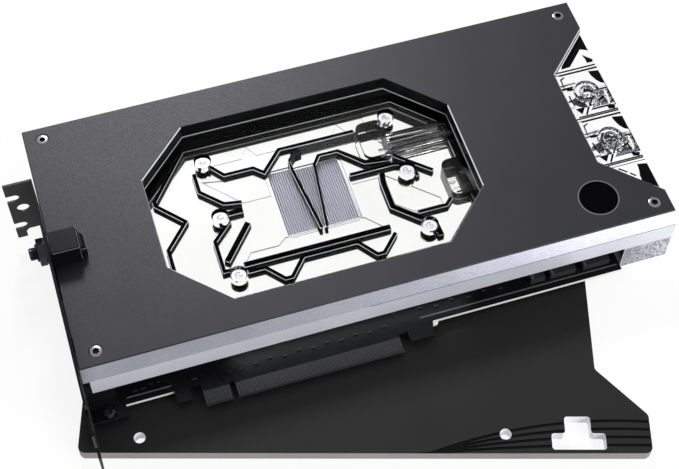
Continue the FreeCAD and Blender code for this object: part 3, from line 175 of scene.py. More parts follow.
@dataclass
class FinishBuilder:
    """Builds the node tree of one finish."""

    finish: Finish
    material: bpy.types.Material = field(init=False)
    tree: bpy.types.NodeTree = field(init=False)

    def __post_init__(self) -> None:
        """Make the empty material."""
        self.material = bpy.data.materials.new(self.finish.name)
        self.tree = empty_tree(self.material)

    def place(self, stretch: tuple = (1, 1, 1)) -> Socket:
        """Object coordinates, scaled along X, Y and Z for grain that runs one way."""
        spot = add(self.tree, "TexCoord").outputs["Object"]
        return add(self.tree, "Mapping", Vector=spot, Scale=stretch).outputs[0]

    def noise(self, millimetres: float, detail: float = 2.0, stretch: tuple = (1, 1, 1)) -> Socket:
        """Noise with features of a real size.

        Args:
            millimetres: Size of one feature.
            detail: Octaves of finer noise.
            stretch: Scale along X, Y and Z.

        Returns:
            The noise value.
        """
        made = add(self.tree, "TexNoise", Vector=self.place(stretch), Scale=1 / (millimetres * MM),
                   Detail=detail)
        return made.outputs["Fac"]

    def span(self, value: Socket, low: float, high: float, start: float = 0.3,
             end: float = 0.7) -> Socket:
        """Map the part of a value between start and end to a range from low to high."""
        made = add(self.tree, "MapRange", Value=value, From_Min=start, From_Max=end, To_Min=low,
                   To_Max=high)
        return made.outputs["Result"]

    def blend(self, factor: Socket, first: object, second: str) -> Socket:
        """Blend two colours, of which the first may be a socket."""
        base = first if isinstance(first, Socket) else linear(first)
        made = add(self.tree, "Mix", {"data_type": "RGBA"}, i0=factor, i6=base, i7=linear(second))
        return made.outputs[2]

    def traces(self) -> Socket:
        """Copper traces under the mask: fine parallel runs that break off in patches."""
        lines = add(self.tree, "TexWave", {"bands_direction": "DIAGONAL"}, Vector=self.place(),
                    Scale=1 / (7.0 * MM), Distortion=0.0)
        patch = self.span(self.noise(14.0, 1.0), 0.0, 1.0, 0.5, 0.56)
        thin = self.span(lines.outputs["Fac"], 0.0, 1.0, 0.78, 0.86)
        return add(self.tree, "Math", {"operation": "MULTIPLY"}, i0=thin, i1=patch).outputs[0]

    def build(self) -> bpy.types.Material:
        """Wire the tree for the finish's surface and return the material."""
        finish, kind = self.finish, self.finish.surface
        stretch = {Surface.BRUSHED: (0.03, 1, 1), Surface.TURNED: (1, 1, 0.1), Surface.SKIVED: (1, 0.05, 1),
                   Surface.DRILLED: (0.02, 1, 1)}.get(kind, (1, 1, 1))
        fine = self.noise(finish.grain_mm, 3.0, stretch)
        if kind in (Surface.CLEAR, Surface.DRILLED, Surface.TAPPED):
            surface = self.clear(fine)
        else:
            surface = self.solid(fine)
        add(self.tree, "OutputMaterial", Surface=surface)
        self.material.diffuse_color = linear(finish.colour)
        return self.material

    def solid(self, fine: Socket) -> Socket:
        """Opaque surface: broad shade, fine grain in colour and gloss, and relief."""
        finish, kind = self.finish, self.finish.surface
        tint = self.blend(self.span(self.noise(35.0), 0.15, 0.85), finish.colour, finish.shade)
        height = fine
        if kind is Surface.LAMINATE:
            height = self.traces()
            tint = self.blend(self.span(height, 0.0, 0.6, 0.0, 1.0), tint, "#131416")
        if kind is Surface.BLASTED:
            # Blasting pits of 0.1 mm are drawn at 0.6 mm, the finest that shows at this distance
            tint = self.blend(self.span(self.noise(finish.speck_mm, 1.0), 0.0, finish.speck), tint, finish.shade)
        rough = self.span(fine, finish.roughness * 0.85, min(1.0, finish.roughness * 1.15))
        bump = add(self.tree, "Bump", Strength=0.5, Distance=finish.relief_mm * MM, Height=height)
        shader = add(self.tree, "BsdfPrincipled", Base_Color=tint, Metallic=finish.metallic,
                     Roughness=rough, Normal=bump.outputs[0], Specular_IOR_Level=finish.sheen)
        if not finish.metallic:
            shader.inputs["IOR"].default_value = finish.ior
        return shader.outputs[0]

    def clear(self, fine: Socket) -> Socket:
        """Clear body that lets light through, streaked dark: tool marks in tapped threads, painted shade in drilled
        ducts.
        """
        finish, kind = self.finish, self.finish.surface
        shader = add(self.tree, "BsdfPrincipled", Base_Color=linear("#ffffff"),
                     Roughness=0.0, Transmission_Weight=1.0, IOR=finish.ior,
                     Specular_Tint=(0.06, 0.06, 0.06, 1.0))
        shadow = add(self.tree, "LightPath").outputs["Is Shadow Ray"]
        through = add(self.tree, "BsdfTransparent", Color=(0.9, 0.92, 0.94, 1.0))
        mix = add(self.tree, "MixShader", i0=shadow, i1=shader.outputs[0], i2=through.outputs[0])
        if kind is Surface.CLEAR:
            return mix.outputs[0]
        # The finish's sheen moves the noise level at which a streak begins
        start, full = 0.92 - finish.sheen, 0.97 - finish.sheen
        streak = add(self.tree, "BsdfPrincipled", Base_Color=linear(finish.colour),
                     Roughness=finish.roughness, IOR=finish.ior)
        share = self.span(fine, 0.0, 1.0, start, full)
        cut = add(self.tree, "MixShader", i0=share, i1=mix.outputs[0], i2=streak.outputs[0])
        return cut.outputs[0]


# Dyed black oxide over blasted aluminium: dull and dark, with a soft broad sheen and a violet cast
COVER_BLACK = Finish("anodised_aluminium_black_blasted", "#2b2b2f", "#27272a", Surface.BLASTED, 0.85, 0.48, 0.35,
                     0.012)
# The cover's milled inner walls, which see no light, painted near black: painted shade. Also laid on the cover's
# underside, on the front-facing part of the window's rim and on the bracket's top edge
PAINTED_SHADE_BLACK = Finish("anodised_aluminium_black_painted_shade", "#050506", "#080809", Surface.BRUSHED, 0.0, 0.4, 0.4, 0.004,
                    sheen=0.05)
# Diamond-cut rim through the oxide: a thin bright line
CUT_RIM = Finish("aluminium_diamond_cut", "#e4e4e8", "#dadade", Surface.BRUSHED, 1.0, 0.22, 0.5, 0.002)
# Satin oxide on the backplate, smoother and a little darker than the cover
PLATE_BLACK = Finish("anodised_aluminium_black_satin", "#1c1c1d", "#181819", Surface.BLASTED, 0.35, 0.6, 0.5, 0.006,
                     sheen=0.2)
# Milled lines on the backplate, painted near black: painted shade in the grooves, seen as soft dark bands
PLATE_GROOVE_SHADE = Finish("anodised_aluminium_groove_painted_shade", "#050506", "#0a0a0b", Surface.BLASTED, 0.0, 0.7, 0.5, 0.003,
                      sheen=0.05)
# Front side of the backplate: pale, with long scratches; its other sides keep the black
PLATE_EDGE = Finish("backplate_front_pale", "#938e8e", "#878282", Surface.BRUSHED, 0.5, 0.5, 0.5, 0.006)
# Walls of the punched holes painted almost white: painted light in the deep holes
HOLE_WALL_LIGHT = Finish("aluminium_wall_painted_light", "#f2f2f4", "#e8e8ea", Surface.BRUSHED, 0.2, 0.4, 0.5, 0.004)
# Clear oxide over blasted aluminium: a grainy silver
RAIL_SILVER = Finish("anodised_aluminium_silver_blasted", "#e4e5ee", "#c0c2cc", Surface.BLASTED, 0.3, 0.45, 0.3,
                     0.03, speck=0.9)
# Upper facet of the rail, blasted finer and painted darker than the flank: painted shade. It mirrors the low lamp
# towards its right end
RAIL_FACET_SHADE = Finish("anodised_aluminium_silver_facet_shade", "#a8aab4", "#888a94", Surface.BLASTED, 0.9, 0.28, 0.3, 0.015,
                    speck=0.7)
# Inner side of the rail, painted near black: painted shade under the cover. Also the dark line between the front
# rail's facets
RAIL_INNER_SHADE = Finish("aluminium_inner_painted_shade", "#060607", "#0a0a0b", Surface.BRUSHED, 0.0, 0.5, 0.6, 0.004,
                    sheen=0.05)
# Cast PMMA, milled and flame polished: clear with crisp edges
ACRYLIC = Finish("acrylic_cast_polished", "#ffffff", "#ffffff", Surface.CLEAR, 0.0, 0.0, 1.0, ior=1.49)
# Drilled ducts, streaked dark along their length: painted shade
ACRYLIC_DUCT_SHADE = Finish("acrylic_duct_painted_shade", "#101014", "#101014", Surface.DRILLED, 0.0, 0.15, 0.55, ior=1.49,
                      sheen=0.43)
# Tapped threads: matt flanks, grey and finely lined
ACRYLIC_THREAD = Finish("acrylic_tapped_thread", "#3a3a42", "#3a3a42", Surface.TAPPED, 0.0, 0.2, 0.7, ior=1.49,
                        sheen=0.45)
# Milled walls of the clear block painted opaque black: painted reflection of the black round them
ACRYLIC_REFLECTION_BLACK = Finish("acrylic_wall_painted_reflection", "#030304", "#070709", Surface.MOULDED, 0.0, 0.12, 0.8, 0.002, 1.49,
                       0.05)
# Thin light line along a groove's upper edge and round the window at the acrylic: painted highlight
ACRYLIC_GLINT = Finish("acrylic_painted_highlight", "#d9d9dc", "#c4c4c8", Surface.MOULDED, 0.0, 0.3, 0.8, 0.002, 1.49)
# Sawn end of the clear block: crazed white and lavender
ACRYLIC_SAWN = Finish("acrylic_sawn_face", "#f6f6fa", "#55556a", Surface.BLASTED, 0.0, 0.35, 0.8, 0.05, 1.49,
                      speck=1.0, speck_mm=1.1)
# Bright electroless nickel over milled copper: a clean mirror
NICKEL = Finish("nickel_plate_on_copper", "#fbfbfa", "#f4f4f3", Surface.PLATED, 1.0, 0.05, 2.5, 0.0015)
# Step down to the fins, painted dark grey: painted shade drawn as a thin dark outline
NICKEL_STEP_SHADE = Finish("nickel_step_painted_shade", "#2a2a2c", "#333336", Surface.BRUSHED, 0.8, 0.3, 0.5, 0.004)
# Skived fins painted grey: painted shade of their narrow gaps, which swallow half of the light
NICKEL_FINS_SHADE = Finish("nickel_fins_painted_shade", "#82828b", "#8b8b94", Surface.SKIVED, 0.1, 0.6, 0.5, 0.02)
# EPDM cord: dull black
RUBBER = Finish("epdm_moulded_cord", "#040405", "#070708", Surface.MOULDED, 0.0, 0.6, 0.8, 0.001, 1.45, 0.02)
SILICONE_PAD = Finish("silicone_thermal_pad", "#85858b", "#77777d", Surface.MOULDED, 0.0, 0.8, 0.6, 0.05)
# Stainless screws, turned and polished: a mirror with fine rings
STEEL_BRIGHT = Finish("stainless_steel_polished", "#f0f0f2", "#dedee2", Surface.TURNED, 1.0, 0.12, 0.4, 0.002)
# Zinc-nickel screws of the cover: grey with sharp glints
STEEL_GREY = Finish("steel_zinc_nickel", "#808085", "#6c6c71", Surface.TURNED, 1.0, 0.22, 0.5, 0.006)
# Black oxide steel: dark with a hard shine on its edges
STEEL_BLACK = Finish("steel_black_oxide", "#242428", "#33333a", Surface.TURNED, 0.9, 0.16, 0.3, 0.004)
# Floor and walls of a key socket, painted near black: painted shade, as no light gets in
SOCKET_SHADE = Finish("steel_key_socket_painted_shade", "#0c0c0d", "#121213", Surface.TURNED, 0.3, 0.4, 0.3, 0.004, sheen=0.2)
# Solder mask: near black and half gloss, the traces just raised under it
SOLDER_MASK = Finish("solder_mask_black", "#08080a", "#0b0b0d", Surface.LAMINATE, 0.0, 0.4, 1.6, 0.006, 1.5, 0.15)
# Routed edge of the glass laminate: pale. Laid only on the lengths of the front edge that catch the light and on a
# small tab, so partly a painted highlight
LAMINATE_EDGE = Finish("glass_laminate_routed_and_highlight", "#dcdcd8", "#cfcfca", Surface.BRUSHED, 0.0, 0.6, 0.4, 0.02)
SILKSCREEN = Finish("silkscreen_ink", "#55555a", "#4c4c50", Surface.MOULDED, 0.0, 0.6, 0.5, 0.004)
# Plated contacts in the shade of the card: dull grey metal
CONTACT = Finish("contact_plated_dull", "#3a3a3d", "#343437", Surface.BRUSHED, 0.4, 0.55, 0.4, 0.004)
SOLDER = Finish("solder_reflowed", "#5f5f64", "#55555a", Surface.PLATED, 1.0, 0.35, 0.6, 0.01)
# Epoxy packages: matt black-grey
RESIN = Finish("epoxy_moulded_package", "#161618", "#1c1c1e", Surface.MOULDED, 0.0, 0.55, 0.25, 0.01, 1.5, 0.3)
PACKAGE_GREEN = Finish("package_laminate_green", "#1d4a33", "#22563c", Surface.MOULDED, 0.0, 0.4, 1.2, 0.01)
SILICON = Finish("silicon_polished", "#3a3d45", "#42454e", Surface.PLATED, 0.3, 0.12, 3.0, 0.001)
FERRITE = Finish("ferrite_pressed", "#3c3c3f", "#333336", Surface.MOULDED, 0.0, 0.7, 0.3, 0.03)
CAPACITOR_CASE = Finish("capacitor_polymer_case", "#1b1b1d", "#222224", Surface.MOULDED, 0.0, 0.5, 0.4, 0.01)
# Powder coat on folded steel: a fine orange peel
BRACKET_BLACK = Finish("sheet_steel_black_powder", "#141416", "#19191b", Surface.COATED, 0.0, 0.5, 0.6, 0.02, 1.5,
                       0.3)
SHELL_STEEL = Finish("steel_drawn_shell", "#77777a", "#6b6b6e", Surface.BRUSHED, 1.0, 0.3, 0.5, 0.004)
# Nylon, moulded against a polished tool: black with a soft gloss
NYLON = Finish("nylon_moulded_black", "#0b0b10", "#0e0e13", Surface.MOULDED, 0.0, 0.34, 0.5, 0.004, 1.5, 0.07)
# Pale lines along the edges of the switch's housing and boot: painted highlight
NYLON_HIGHLIGHT = Finish("nylon_painted_highlight", "#6a6a74", "#5b5b64", Surface.MOULDED, 0.0, 0.4, 0.5, 0.004, 1.5, 0.3)
# Turned rim of the badge and its bare enamel face
BADGE_RIM = Finish("aluminium_turned_rim", "#7d7d83", "#5d5d63", Surface.TURNED, 1.0, 0.2, 0.3, 0.002)
BADGE_BLACK = Finish("enamel_black_badge", "#030304", "#050506", Surface.MOULDED, 0.0, 0.3, 0.8, 0.003, 1.5, 0.01)
# Black sheets on the terminal: painted reflection of the dark round the clear block, and painted shade along its
# seams and at its left end
SHADE_REFLECTION_BLACK = Finish("black_painted_shade_and_reflection", "#030304", "#050506", Surface.MOULDED, 0.0, 0.35, 0.5, 0.003, 1.5, 0.03)

NODE_FINISHES = {
    "cover_plate": COVER_BLACK, "backplate": PLATE_BLACK, "front_rail": RAIL_SILVER, "rear_rail": RAIL_SILVER,
    "acrylic_top": ACRYLIC, "terminal_block": ACRYLIC, "cold_plate": NICKEL,
    "channel_gaskets": RUBBER, "outer_gasket": RUBBER, "terminal_rings": RUBBER, "switch_boot": NYLON,
    "memory_pads": SILICONE_PAD, "power_pads": SILICONE_PAD, "block_screws": STEEL_BLACK,
    "switch_nut": STEEL_BLACK, "switch_washer": STEEL_BLACK,
    "circuit_board": SOLDER_MASK, "memory_chips": RESIN, "power_stages": RESIN,
    "gpu_substrate": PACKAGE_GREEN, "gpu_die": SILICON, "power_chokes": FERRITE,
    "edge_capacitors": CAPACITOR_CASE, "io_bracket": BRACKET_BLACK,
    "display_sockets": SHELL_STEEL, "hdmi_socket": SHELL_STEEL,
    "switch_housing": NYLON, "push_button": NYLON,
    "badge_ring": BADGE_RIM, "badge_disc": BADGE_BLACK,
}


def stand(name: str, data: bpy.types.ID) -> bpy.types.Object:
    """Make an object of a mesh, lamp or camera and link it to the scene."""
    made = bpy.data.objects.new(name, data)
    bpy.context.scene.collection.objects.link(made)
    return made


@dataclass
class Facet:
    """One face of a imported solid, in millimetres of the card frame."""

    centre: Vector
    normal: Vector

    @property
    def upright(self) -> bool:
        """Whether the face stands on its edge."""
        return abs(self.normal.z) < 0.2

    def level(self, low: float, high: float) -> bool:
        """Whether the middle of the face lies between two heights."""
        return low <= self.centre.z <= high

    def inside(self, x: float, y: float, length: float, width: float) -> bool:
        """Whether the middle of the face lies over a rectangle about a point."""
        return abs(self.centre.x - x) <= length / 2 and abs(self.centre.y - y) <= width / 2


@dataclass(frozen=True)
class FacePaint:
    """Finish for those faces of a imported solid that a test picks."""

    node: str
    finish: Finish
    wanted: Callable[[Facet], bool]


@dataclass
class NodeDresser:
    """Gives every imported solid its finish, and single faces theirs."""

    nodes: dict[str, bpy.types.Object]
    # Corner of the backplate and its turn, in the card frame
    plate_corner: tuple = (-8.0, -2.7)
    plate_turn: float = math.radians(17.3)
    # On the backplate, along and across: its two round holes, and the reach of the T-shaped one
    plate_holes: tuple = ((24.5, 6.6), (172.5, 8.4))
    plate_tee: tuple = (190.5, 213.5, 2.4, 16.5)
    # Middles of the riser shafts, and the axes of the ducts
    risers: tuple = ((148.8, 96.2), (178.8, 66.6))
    duct_y: tuple = (88.8, 95.2, 60.8, 67.2)
    duct_z: float = 14.0
    # Middle and size of the fin field
    fins: tuple = (115.4, 77.9, 32.1, 33.1)
    board_front: float = 10.3
    seams_y: tuple = (48.0, 75.0, 102.0)

    def dress(self) -> None:
        """Give every solid its material, then paint the faces that differ."""
        for name, solid in self.nodes.items():
            solid.data.materials.clear()
            solid.data.materials.append(NODE_FINISHES[name].material())
            LOG.info("dressed %s", name)
        for paint in self.paints():
            LOG.info("%s: %d faces in %s", paint.node, self.paint(paint), paint.finish.name)

    def facets(self, solid: bpy.types.Object) -> Iterable[tuple[bpy.types.MeshPolygon, Facet]]:
        """Faces of a solid with their place in the card frame."""
        world = solid.matrix_world
        for face in solid.data.polygons:
            centre = (world @ face.center - CARD) / MM
            yield face, Facet(centre, (world.to_3x3() @ face.normal).normalized())

    def paint(self, paint: FacePaint) -> int:
        """Give one finish to the faces that its test picks.

        Args:
            paint: Node, finish and test.

        Returns:
            Number of faces painted.
        """
        solid = self.nodes[paint.node]
        picked = [face for face, facet in self.facets(solid) if paint.wanted(facet)]
        material = paint.finish.material()
        if material.name not in solid.data.materials:
            solid.data.materials.append(material)
        slot = solid.data.materials.find(material.name)
        for face in picked:
            face.material_index = slot
        return len(picked)

    def beside(self, *names: str, reach: float = 0.2) -> Callable[[Facet], bool]:
        """Test for faces that touch the named solids.

        Args:
            names: Solids, such as cords in their grooves.
            reach: How near the middle of the face must be, in millimetres.

        Returns:
            The test.
        """
        shape = bmesh.new()
        for name in names:
            shape.from_mesh(self.nodes[name].data)
        shape.transform(self.nodes[names[0]].matrix_world)
        tree = BVHTree.FromBMesh(shape)
        shape.free()
        return lambda facet: tree.find_nearest(CARD + facet.centre * MM, reach * MM)[0] is not None

    def on_plate(self, facet: Facet) -> Vector:
        """Place of a facet along and across the backplate."""
        gap = facet.centre - Vector((*self.plate_corner, 0))
        c, s = math.cos(self.plate_turn), math.sin(self.plate_turn)
        return Vector((gap.x * c - gap.y * s, gap.x * s + gap.y * c, gap.z))

    def paints(self) -> list[FacePaint]:
        """Faces that differ from the rest of their solid."""
        cords = self.beside("channel_gaskets", "outer_gasket")
        rings = self.beside("terminal_rings")

        def by_window(facet: Facet, more: float, wider: float) -> bool:
            return facet.inside(*WINDOW_MIDDLE, WINDOW_SIZE[0] + more, WINDOW_SIZE[1] + wider)

        def cover_rim(facet: Facet) -> bool:
            return 0.5 < facet.normal.z < 0.9 and facet.level(FACE - 0.5, FACE)

        def window_rim(facet: Facet) -> bool:
            return cover_rim(facet) and by_window(facet, 1.7, 1.5)

        def notch_rim(facet: Facet) -> bool:
            return (cover_rim(facet) and facet.centre.x > 234.0 and 28.5 < facet.centre.y < 121.5
                    and facet.normal.x > 0.2)

        def window_wall(facet: Facet) -> bool:
            return facet.upright and by_window(facet, 6.7, 6.5)

        def plate_front(facet: Facet) -> bool:
            return facet.upright and self.on_plate(facet).y < 0.9

        def plate_hole(facet: Facet) -> bool:
            spot = self.on_plate(facet)
            near = any((spot.xy - Vector(hole)).length < 2.7 for hole in self.plate_holes)
            left, right, low, high = self.plate_tee
            return facet.upright and (near or left < spot.x < right and low < spot.y < high)

        def board_edge_highlight(facet: Facet) -> bool:
            x = facet.centre.x
            return (facet.normal.y < -0.9 and abs(facet.centre.y - self.board_front) < 0.1
                    and (15.6 < x < 35.5 or 142.0 < x < 234.0))

        def riser_wall(facet: Facet) -> bool:
            near = any(facet.inside(x, y, 12.8, 19.2) for x, y in self.risers)
            return facet.upright and near and facet.level(FLOOR, FLOOR + 7.5)

        def duct_wall(facet: Facet) -> bool:
            near = any(math.hypot(facet.centre.y - y, facet.centre.z - self.duct_z) < 2.7 for y in self.duct_y)
            return near and facet.centre.x > 155.2 and abs(facet.normal.x) < 0.5

        def inwards(facet: Facet) -> float:
            return facet.normal.y * (self.seams_y[1] - facet.centre.y)

        def rail_inner(facet: Facet) -> bool:
            return inwards(facet) > 0 and facet.normal.z < 0.9

        def rail_facet(facet: Facet) -> bool:
            return inwards(facet) < 0 and 0.3 < facet.normal.z < 0.95

        def bore_wall(facet: Facet) -> bool:
            near = any(math.hypot(facet.centre.x - x, facet.centre.y - y) < 3.9 and facet.centre.y > y + 1.2
                       for x in SCREW_X for y in SCREW_Y[1:])
            return facet.upright and near and facet.centre.z > 13.0

        def bright_rim(facet: Facet) -> bool:
            return window_rim(facet) and (facet.normal.y > -0.3 or facet.normal.x > 0.3)

        rows = [
            # Window walls of the cover painted near black: painted shade
            ("cover_plate", PAINTED_SHADE_BLACK, window_wall),
            # Underside of the cover painted near black: painted shade, so the nickel mirrors black under it
            ("cover_plate", PAINTED_SHADE_BLACK, lambda f: f.normal.z < -0.5),
            # Whole window rim painted near black, then the bright cut metal kept where it faces away from the front:
            # painted shade on the front-facing part
            ("cover_plate", PAINTED_SHADE_BLACK, window_rim),
            ("cover_plate", CUT_RIM, bright_rim),
            ("cover_plate", CUT_RIM, notch_rim),
            ("backplate", PLATE_EDGE, plate_front),
            # Walls of the backplate's holes and T-shaped cut painted almost white: painted light
            ("backplate", HOLE_WALL_LIGHT, plate_hole),
            # Floors and walls of the backplate's grooves painted near black: painted shade
            ("backplate", PLATE_GROOVE_SHADE, lambda f: f.level(-4.32, -4.05)),
            # Pale laminate only on lengths of the board's front edge: partly painted highlight
            ("circuit_board", LAMINATE_EDGE, board_edge_highlight),
            # Upper facets of both rails painted darker: painted shade
            ("front_rail", RAIL_FACET_SHADE, rail_facet),
            ("rear_rail", RAIL_FACET_SHADE, rail_facet),
            # Inner sides of both rails painted near black: painted shade
            ("front_rail", RAIL_INNER_SHADE, rail_inner),
            ("rear_rail", RAIL_INNER_SHADE, rail_inner),
            # Fin field painted grey: painted shade
            ("cold_plate", NICKEL_FINS_SHADE, lambda f: f.inside(*self.fins) and f.level(FLOOR - 4, FLOOR - 0.4)),
            # Low step walls of the plate painted dark: painted shade
            ("cold_plate", NICKEL_STEP_SHADE, lambda f: f.upright and f.level(FLOOR - 0.45, FLOOR)),
            # Low step walls of the clear block painted black: painted reflection
            ("acrylic_top", ACRYLIC_REFLECTION_BLACK, lambda f: f.upright and f.level(FLOOR, FLOOR + 0.42)
                      and by_window(f, -7.8, -4.0)),
            # Duct walls streaked dark: painted shade
            ("acrylic_top", ACRYLIC_DUCT_SHADE, duct_wall),
            # Riser walls, rear halves of the counterbores and the block's rear wall painted black: painted
            # reflection
            ("acrylic_top", ACRYLIC_REFLECTION_BLACK, riser_wall),
            ("acrylic_top", ACRYLIC_REFLECTION_BLACK, bore_wall),
            ("acrylic_top", ACRYLIC_REFLECTION_BLACK, lambda f: f.normal.y > 0.9 and f.centre.y > 118.0),
            ("acrylic_top", RUBBER, lambda f: cords(f) and not f.level(FLOOR + 0.35, FLOOR + 0.45)),
            ("terminal_block", RUBBER, rings),
            ("terminal_block", ACRYLIC_SAWN, lambda f: f.normal.y < -0.3 and f.centre.y < 36.0),
            # Top edge of the bracket painted near black: painted shade
            ("io_bracket", PAINTED_SHADE_BLACK, lambda f: f.normal.z > 0.9 and f.centre.y < 104.5),
            # Seam walls of the terminal painted black: painted shade between its modules
            ("terminal_block", SHADE_REFLECTION_BLACK, lambda f: f.upright and f.level(UNDER - 1.25, UNDER)
                      and any(abs(abs(f.centre.y - y) - 0.8) < 0.05 for y in self.seams_y)),
        ]
        return [FacePaint(*row) for row in rows]


@dataclass
class Piece:
    """A piece of the dressed part, shaped as a bmesh in metres and turned into an object once."""

    name: str
    finish: Finish
    slot: str
    body: str = "card"
    socket: Finish = SOCKET_SHADE
    shape: bmesh.types.BMesh = field(default_factory=bmesh.new)

    def slab(self, low: Vector, high: Vector, bevel: float = 0.0) -> list[Vert]:
        """Add a block between two corners, its edges bevelled.

        Args:
            low: Lowest corner.
            high: Highest corner.
            bevel: Width of the bevel in millimetres.

        Returns:
            The block's vertices before the bevel.
        """
        made = bmesh.ops.create_cube(self.shape, size=1.0)["verts"]
        bmesh.ops.scale(self.shape, vec=high - low, verts=made)
        bmesh.ops.translate(self.shape, vec=(low + high) / 2, verts=made)
        if bevel:
            edges = list({edge for vert in made for edge in vert.link_edges})
            bmesh.ops.bevel(self.shape, geom=edges, offset=bevel * MM, affect="EDGES", segments=2, profile=0.5,
                            material=-1)
        return made

    def plate(self, corners: list[Vector], height: float, bevel: float) -> None:
        """Raise a flat outline into a thin plate with a bevelled top rim.

        Args:
            corners: Outline in one level, in metres, anticlockwise from above.
            height: Thickness in millimetres.
            bevel: Width of the bevel in millimetres.
        """
        face = self.shape.faces.new([self.shape.verts.new(c) for c in corners])
        top = picked(bmesh.ops.extrude_face_region(self.shape, geom=[face])["geom"], Vert)
        bmesh.ops.translate(self.shape, vec=(0, 0, height * MM), verts=top)
        rim = [e for e in self.shape.edges if e.verts[0] in top and e.verts[1] in top]
        bmesh.ops.bevel(self.shape, geom=rim, offset=bevel * MM, affect="EDGES", segments=2, profile=0.5,
                        material=-1)

    def rod(self, start: Vector, end: Vector, radius: float, sides: int = 6) -> None:
        """Draw a thin bar out of a small polygon.

        Args:
            start: First end, in metres.
            end: Second end.
            radius: Circumradius in millimetres.
            sides: Sides of the polygon.
        """
        run = end - start
        frame = Matrix.Translation(start) @ run.to_track_quat("Z", "Y").to_matrix().to_4x4()
        ring = bmesh.ops.create_circle(self.shape, cap_ends=True, segments=sides, radius=radius * MM, matrix=frame)
        cap = list({f for v in ring["verts"] for f in v.link_faces})
        top = picked(bmesh.ops.extrude_face_region(self.shape, geom=cap)["geom"], Vert)
        bmesh.ops.translate(self.shape, vec=run, verts=top)

    def turned(self, profile: list[tuple[float, float]], frame: Matrix, steps: int = 32) -> None:
        """Spin a profile of radius and height, in millimetres, about the Z axis of a frame.

        Args:
            profile: Points from the bottom up.
            frame: Place and turn of the axis.
            steps: Steps of the full turn.
        """
        kept = set(self.shape.verts)
        verts = [self.shape.verts.new((r * MM, 0, z * MM)) for r, z in profile]
        edges = [self.shape.edges.new(pair) for pair in zip(verts, verts[1:])]
        bmesh.ops.spin(self.shape, geom=verts + edges, cent=(0, 0, 0), axis=(0, 0, 1), dvec=(0, 0, 0),
                       angle=math.tau, steps=steps, use_merge=True, use_duplicate=False)
        bmesh.ops.transform(self.shape, matrix=frame, verts=[v for v in self.shape.verts if v not in kept])

    def step(self, loop: list[Edge], factor: float, drop: float) -> tuple[list, list]:
        """Extrude a closed loop of edges by one ring.

        Args:
            loop: Edges to extrude.
            factor: Scale of the new ring about the Z axis.
            drop: How far it moves down, in millimetres.

        Returns:
            Edges of the new ring, and the faces between.
        """
        grown = bmesh.ops.extrude_edge_only(self.shape, edges=loop)["geom"]
        ring = picked(grown, Vert)
        bmesh.ops.scale(self.shape, vec=(factor, factor, 1), verts=ring)
        bmesh.ops.translate(self.shape, vec=(0, 0, -drop * MM), verts=ring)
        return picked(grown, Edge), picked(grown, Face)

    def key_head(self, rim: list[tuple[float, float]], key: float, sink: float, frame: Matrix) -> None:
        """Screw head with a hexagon socket: the socket's edge grows out to the rim's steps.

        Args:
            rim: Radius and height of each step, from the crown outwards and down.
            key: Circumradius of the socket.
            sink: Depth of the socket.
            frame: Place and turn of the screw, with its crown at height zero.
        """
        shape = self.shape
        kept = set(shape.verts)
        socket = bmesh.ops.create_circle(shape, segments=6, radius=key * MM)["verts"]
        crown = bmesh.ops.create_circle(shape, segments=36, radius=rim[0][0] * MM)["verts"]
        mouth = list({e for v in socket for e in v.link_edges})
        loop = list({e for v in crown for e in v.link_edges})
        bmesh.ops.bridge_loops(shape, edges=mouth + loop)
        radius, height = rim[0]
        bmesh.ops.translate(shape, vec=(0, 0, height * MM), verts=crown)
        for wide, level in rim[1:]:
            loop, _ = self.step(loop, wide / radius, height - level)
            radius, height = wide, level
        ease, cone = 0.12, 0.35
        walls = []
        for narrow, drop in ((0.94, ease), (1.0, sink - ease), (0.1, cone)):
            mouth, made = self.step(mouth, narrow, drop)
            walls += made
        # Walls and floor of the socket take the second finish: painted shade on the cover and bracket screws
        for face in walls + bmesh.ops.contextual_create(shape, geom=mouth)["faces"]:
            face.material_index = 1
        bmesh.ops.transform(shape, matrix=frame, verts=[v for v in shape.verts if v not in kept])

    def build(self, smooth: bool = False) -> bpy.types.Object:
        """Close the shape, make the object and let it ride on its body.

        Args:
            smooth: Whether round faces are shaded smooth.

        Returns:
            The piece's object, at the origin.
        """
        bmesh.ops.remove_doubles(self.shape, verts=self.shape.verts, dist=1e-7)
        bmesh.ops.recalc_face_normals(self.shape, faces=self.shape.faces)
        mesh = bpy.data.meshes.new(self.name)
        self.shape.to_mesh(mesh)
        self.shape.free()
        mesh.materials.append(self.finish.material())
        if any(face.material_index for face in mesh.polygons):
            mesh.materials.append(self.socket.material())
        if smooth:
            mesh.shade_smooth()
            mesh.set_sharp_from_angle(angle=math.radians(30))
        made = stand(self.name, mesh)
        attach(made, self.body)
        LOG.info("made %s: %d faces", self.name, len(mesh.polygons))
        return made


def at(x: float, y: float, z: float, turn: Matrix | None = None) -> Matrix:
    """Frame at a point of the card, in millimetres, turned if asked."""
    return Matrix.Translation(card(x, y, z)) @ (turn or Matrix.Identity(3)).to_4x4()


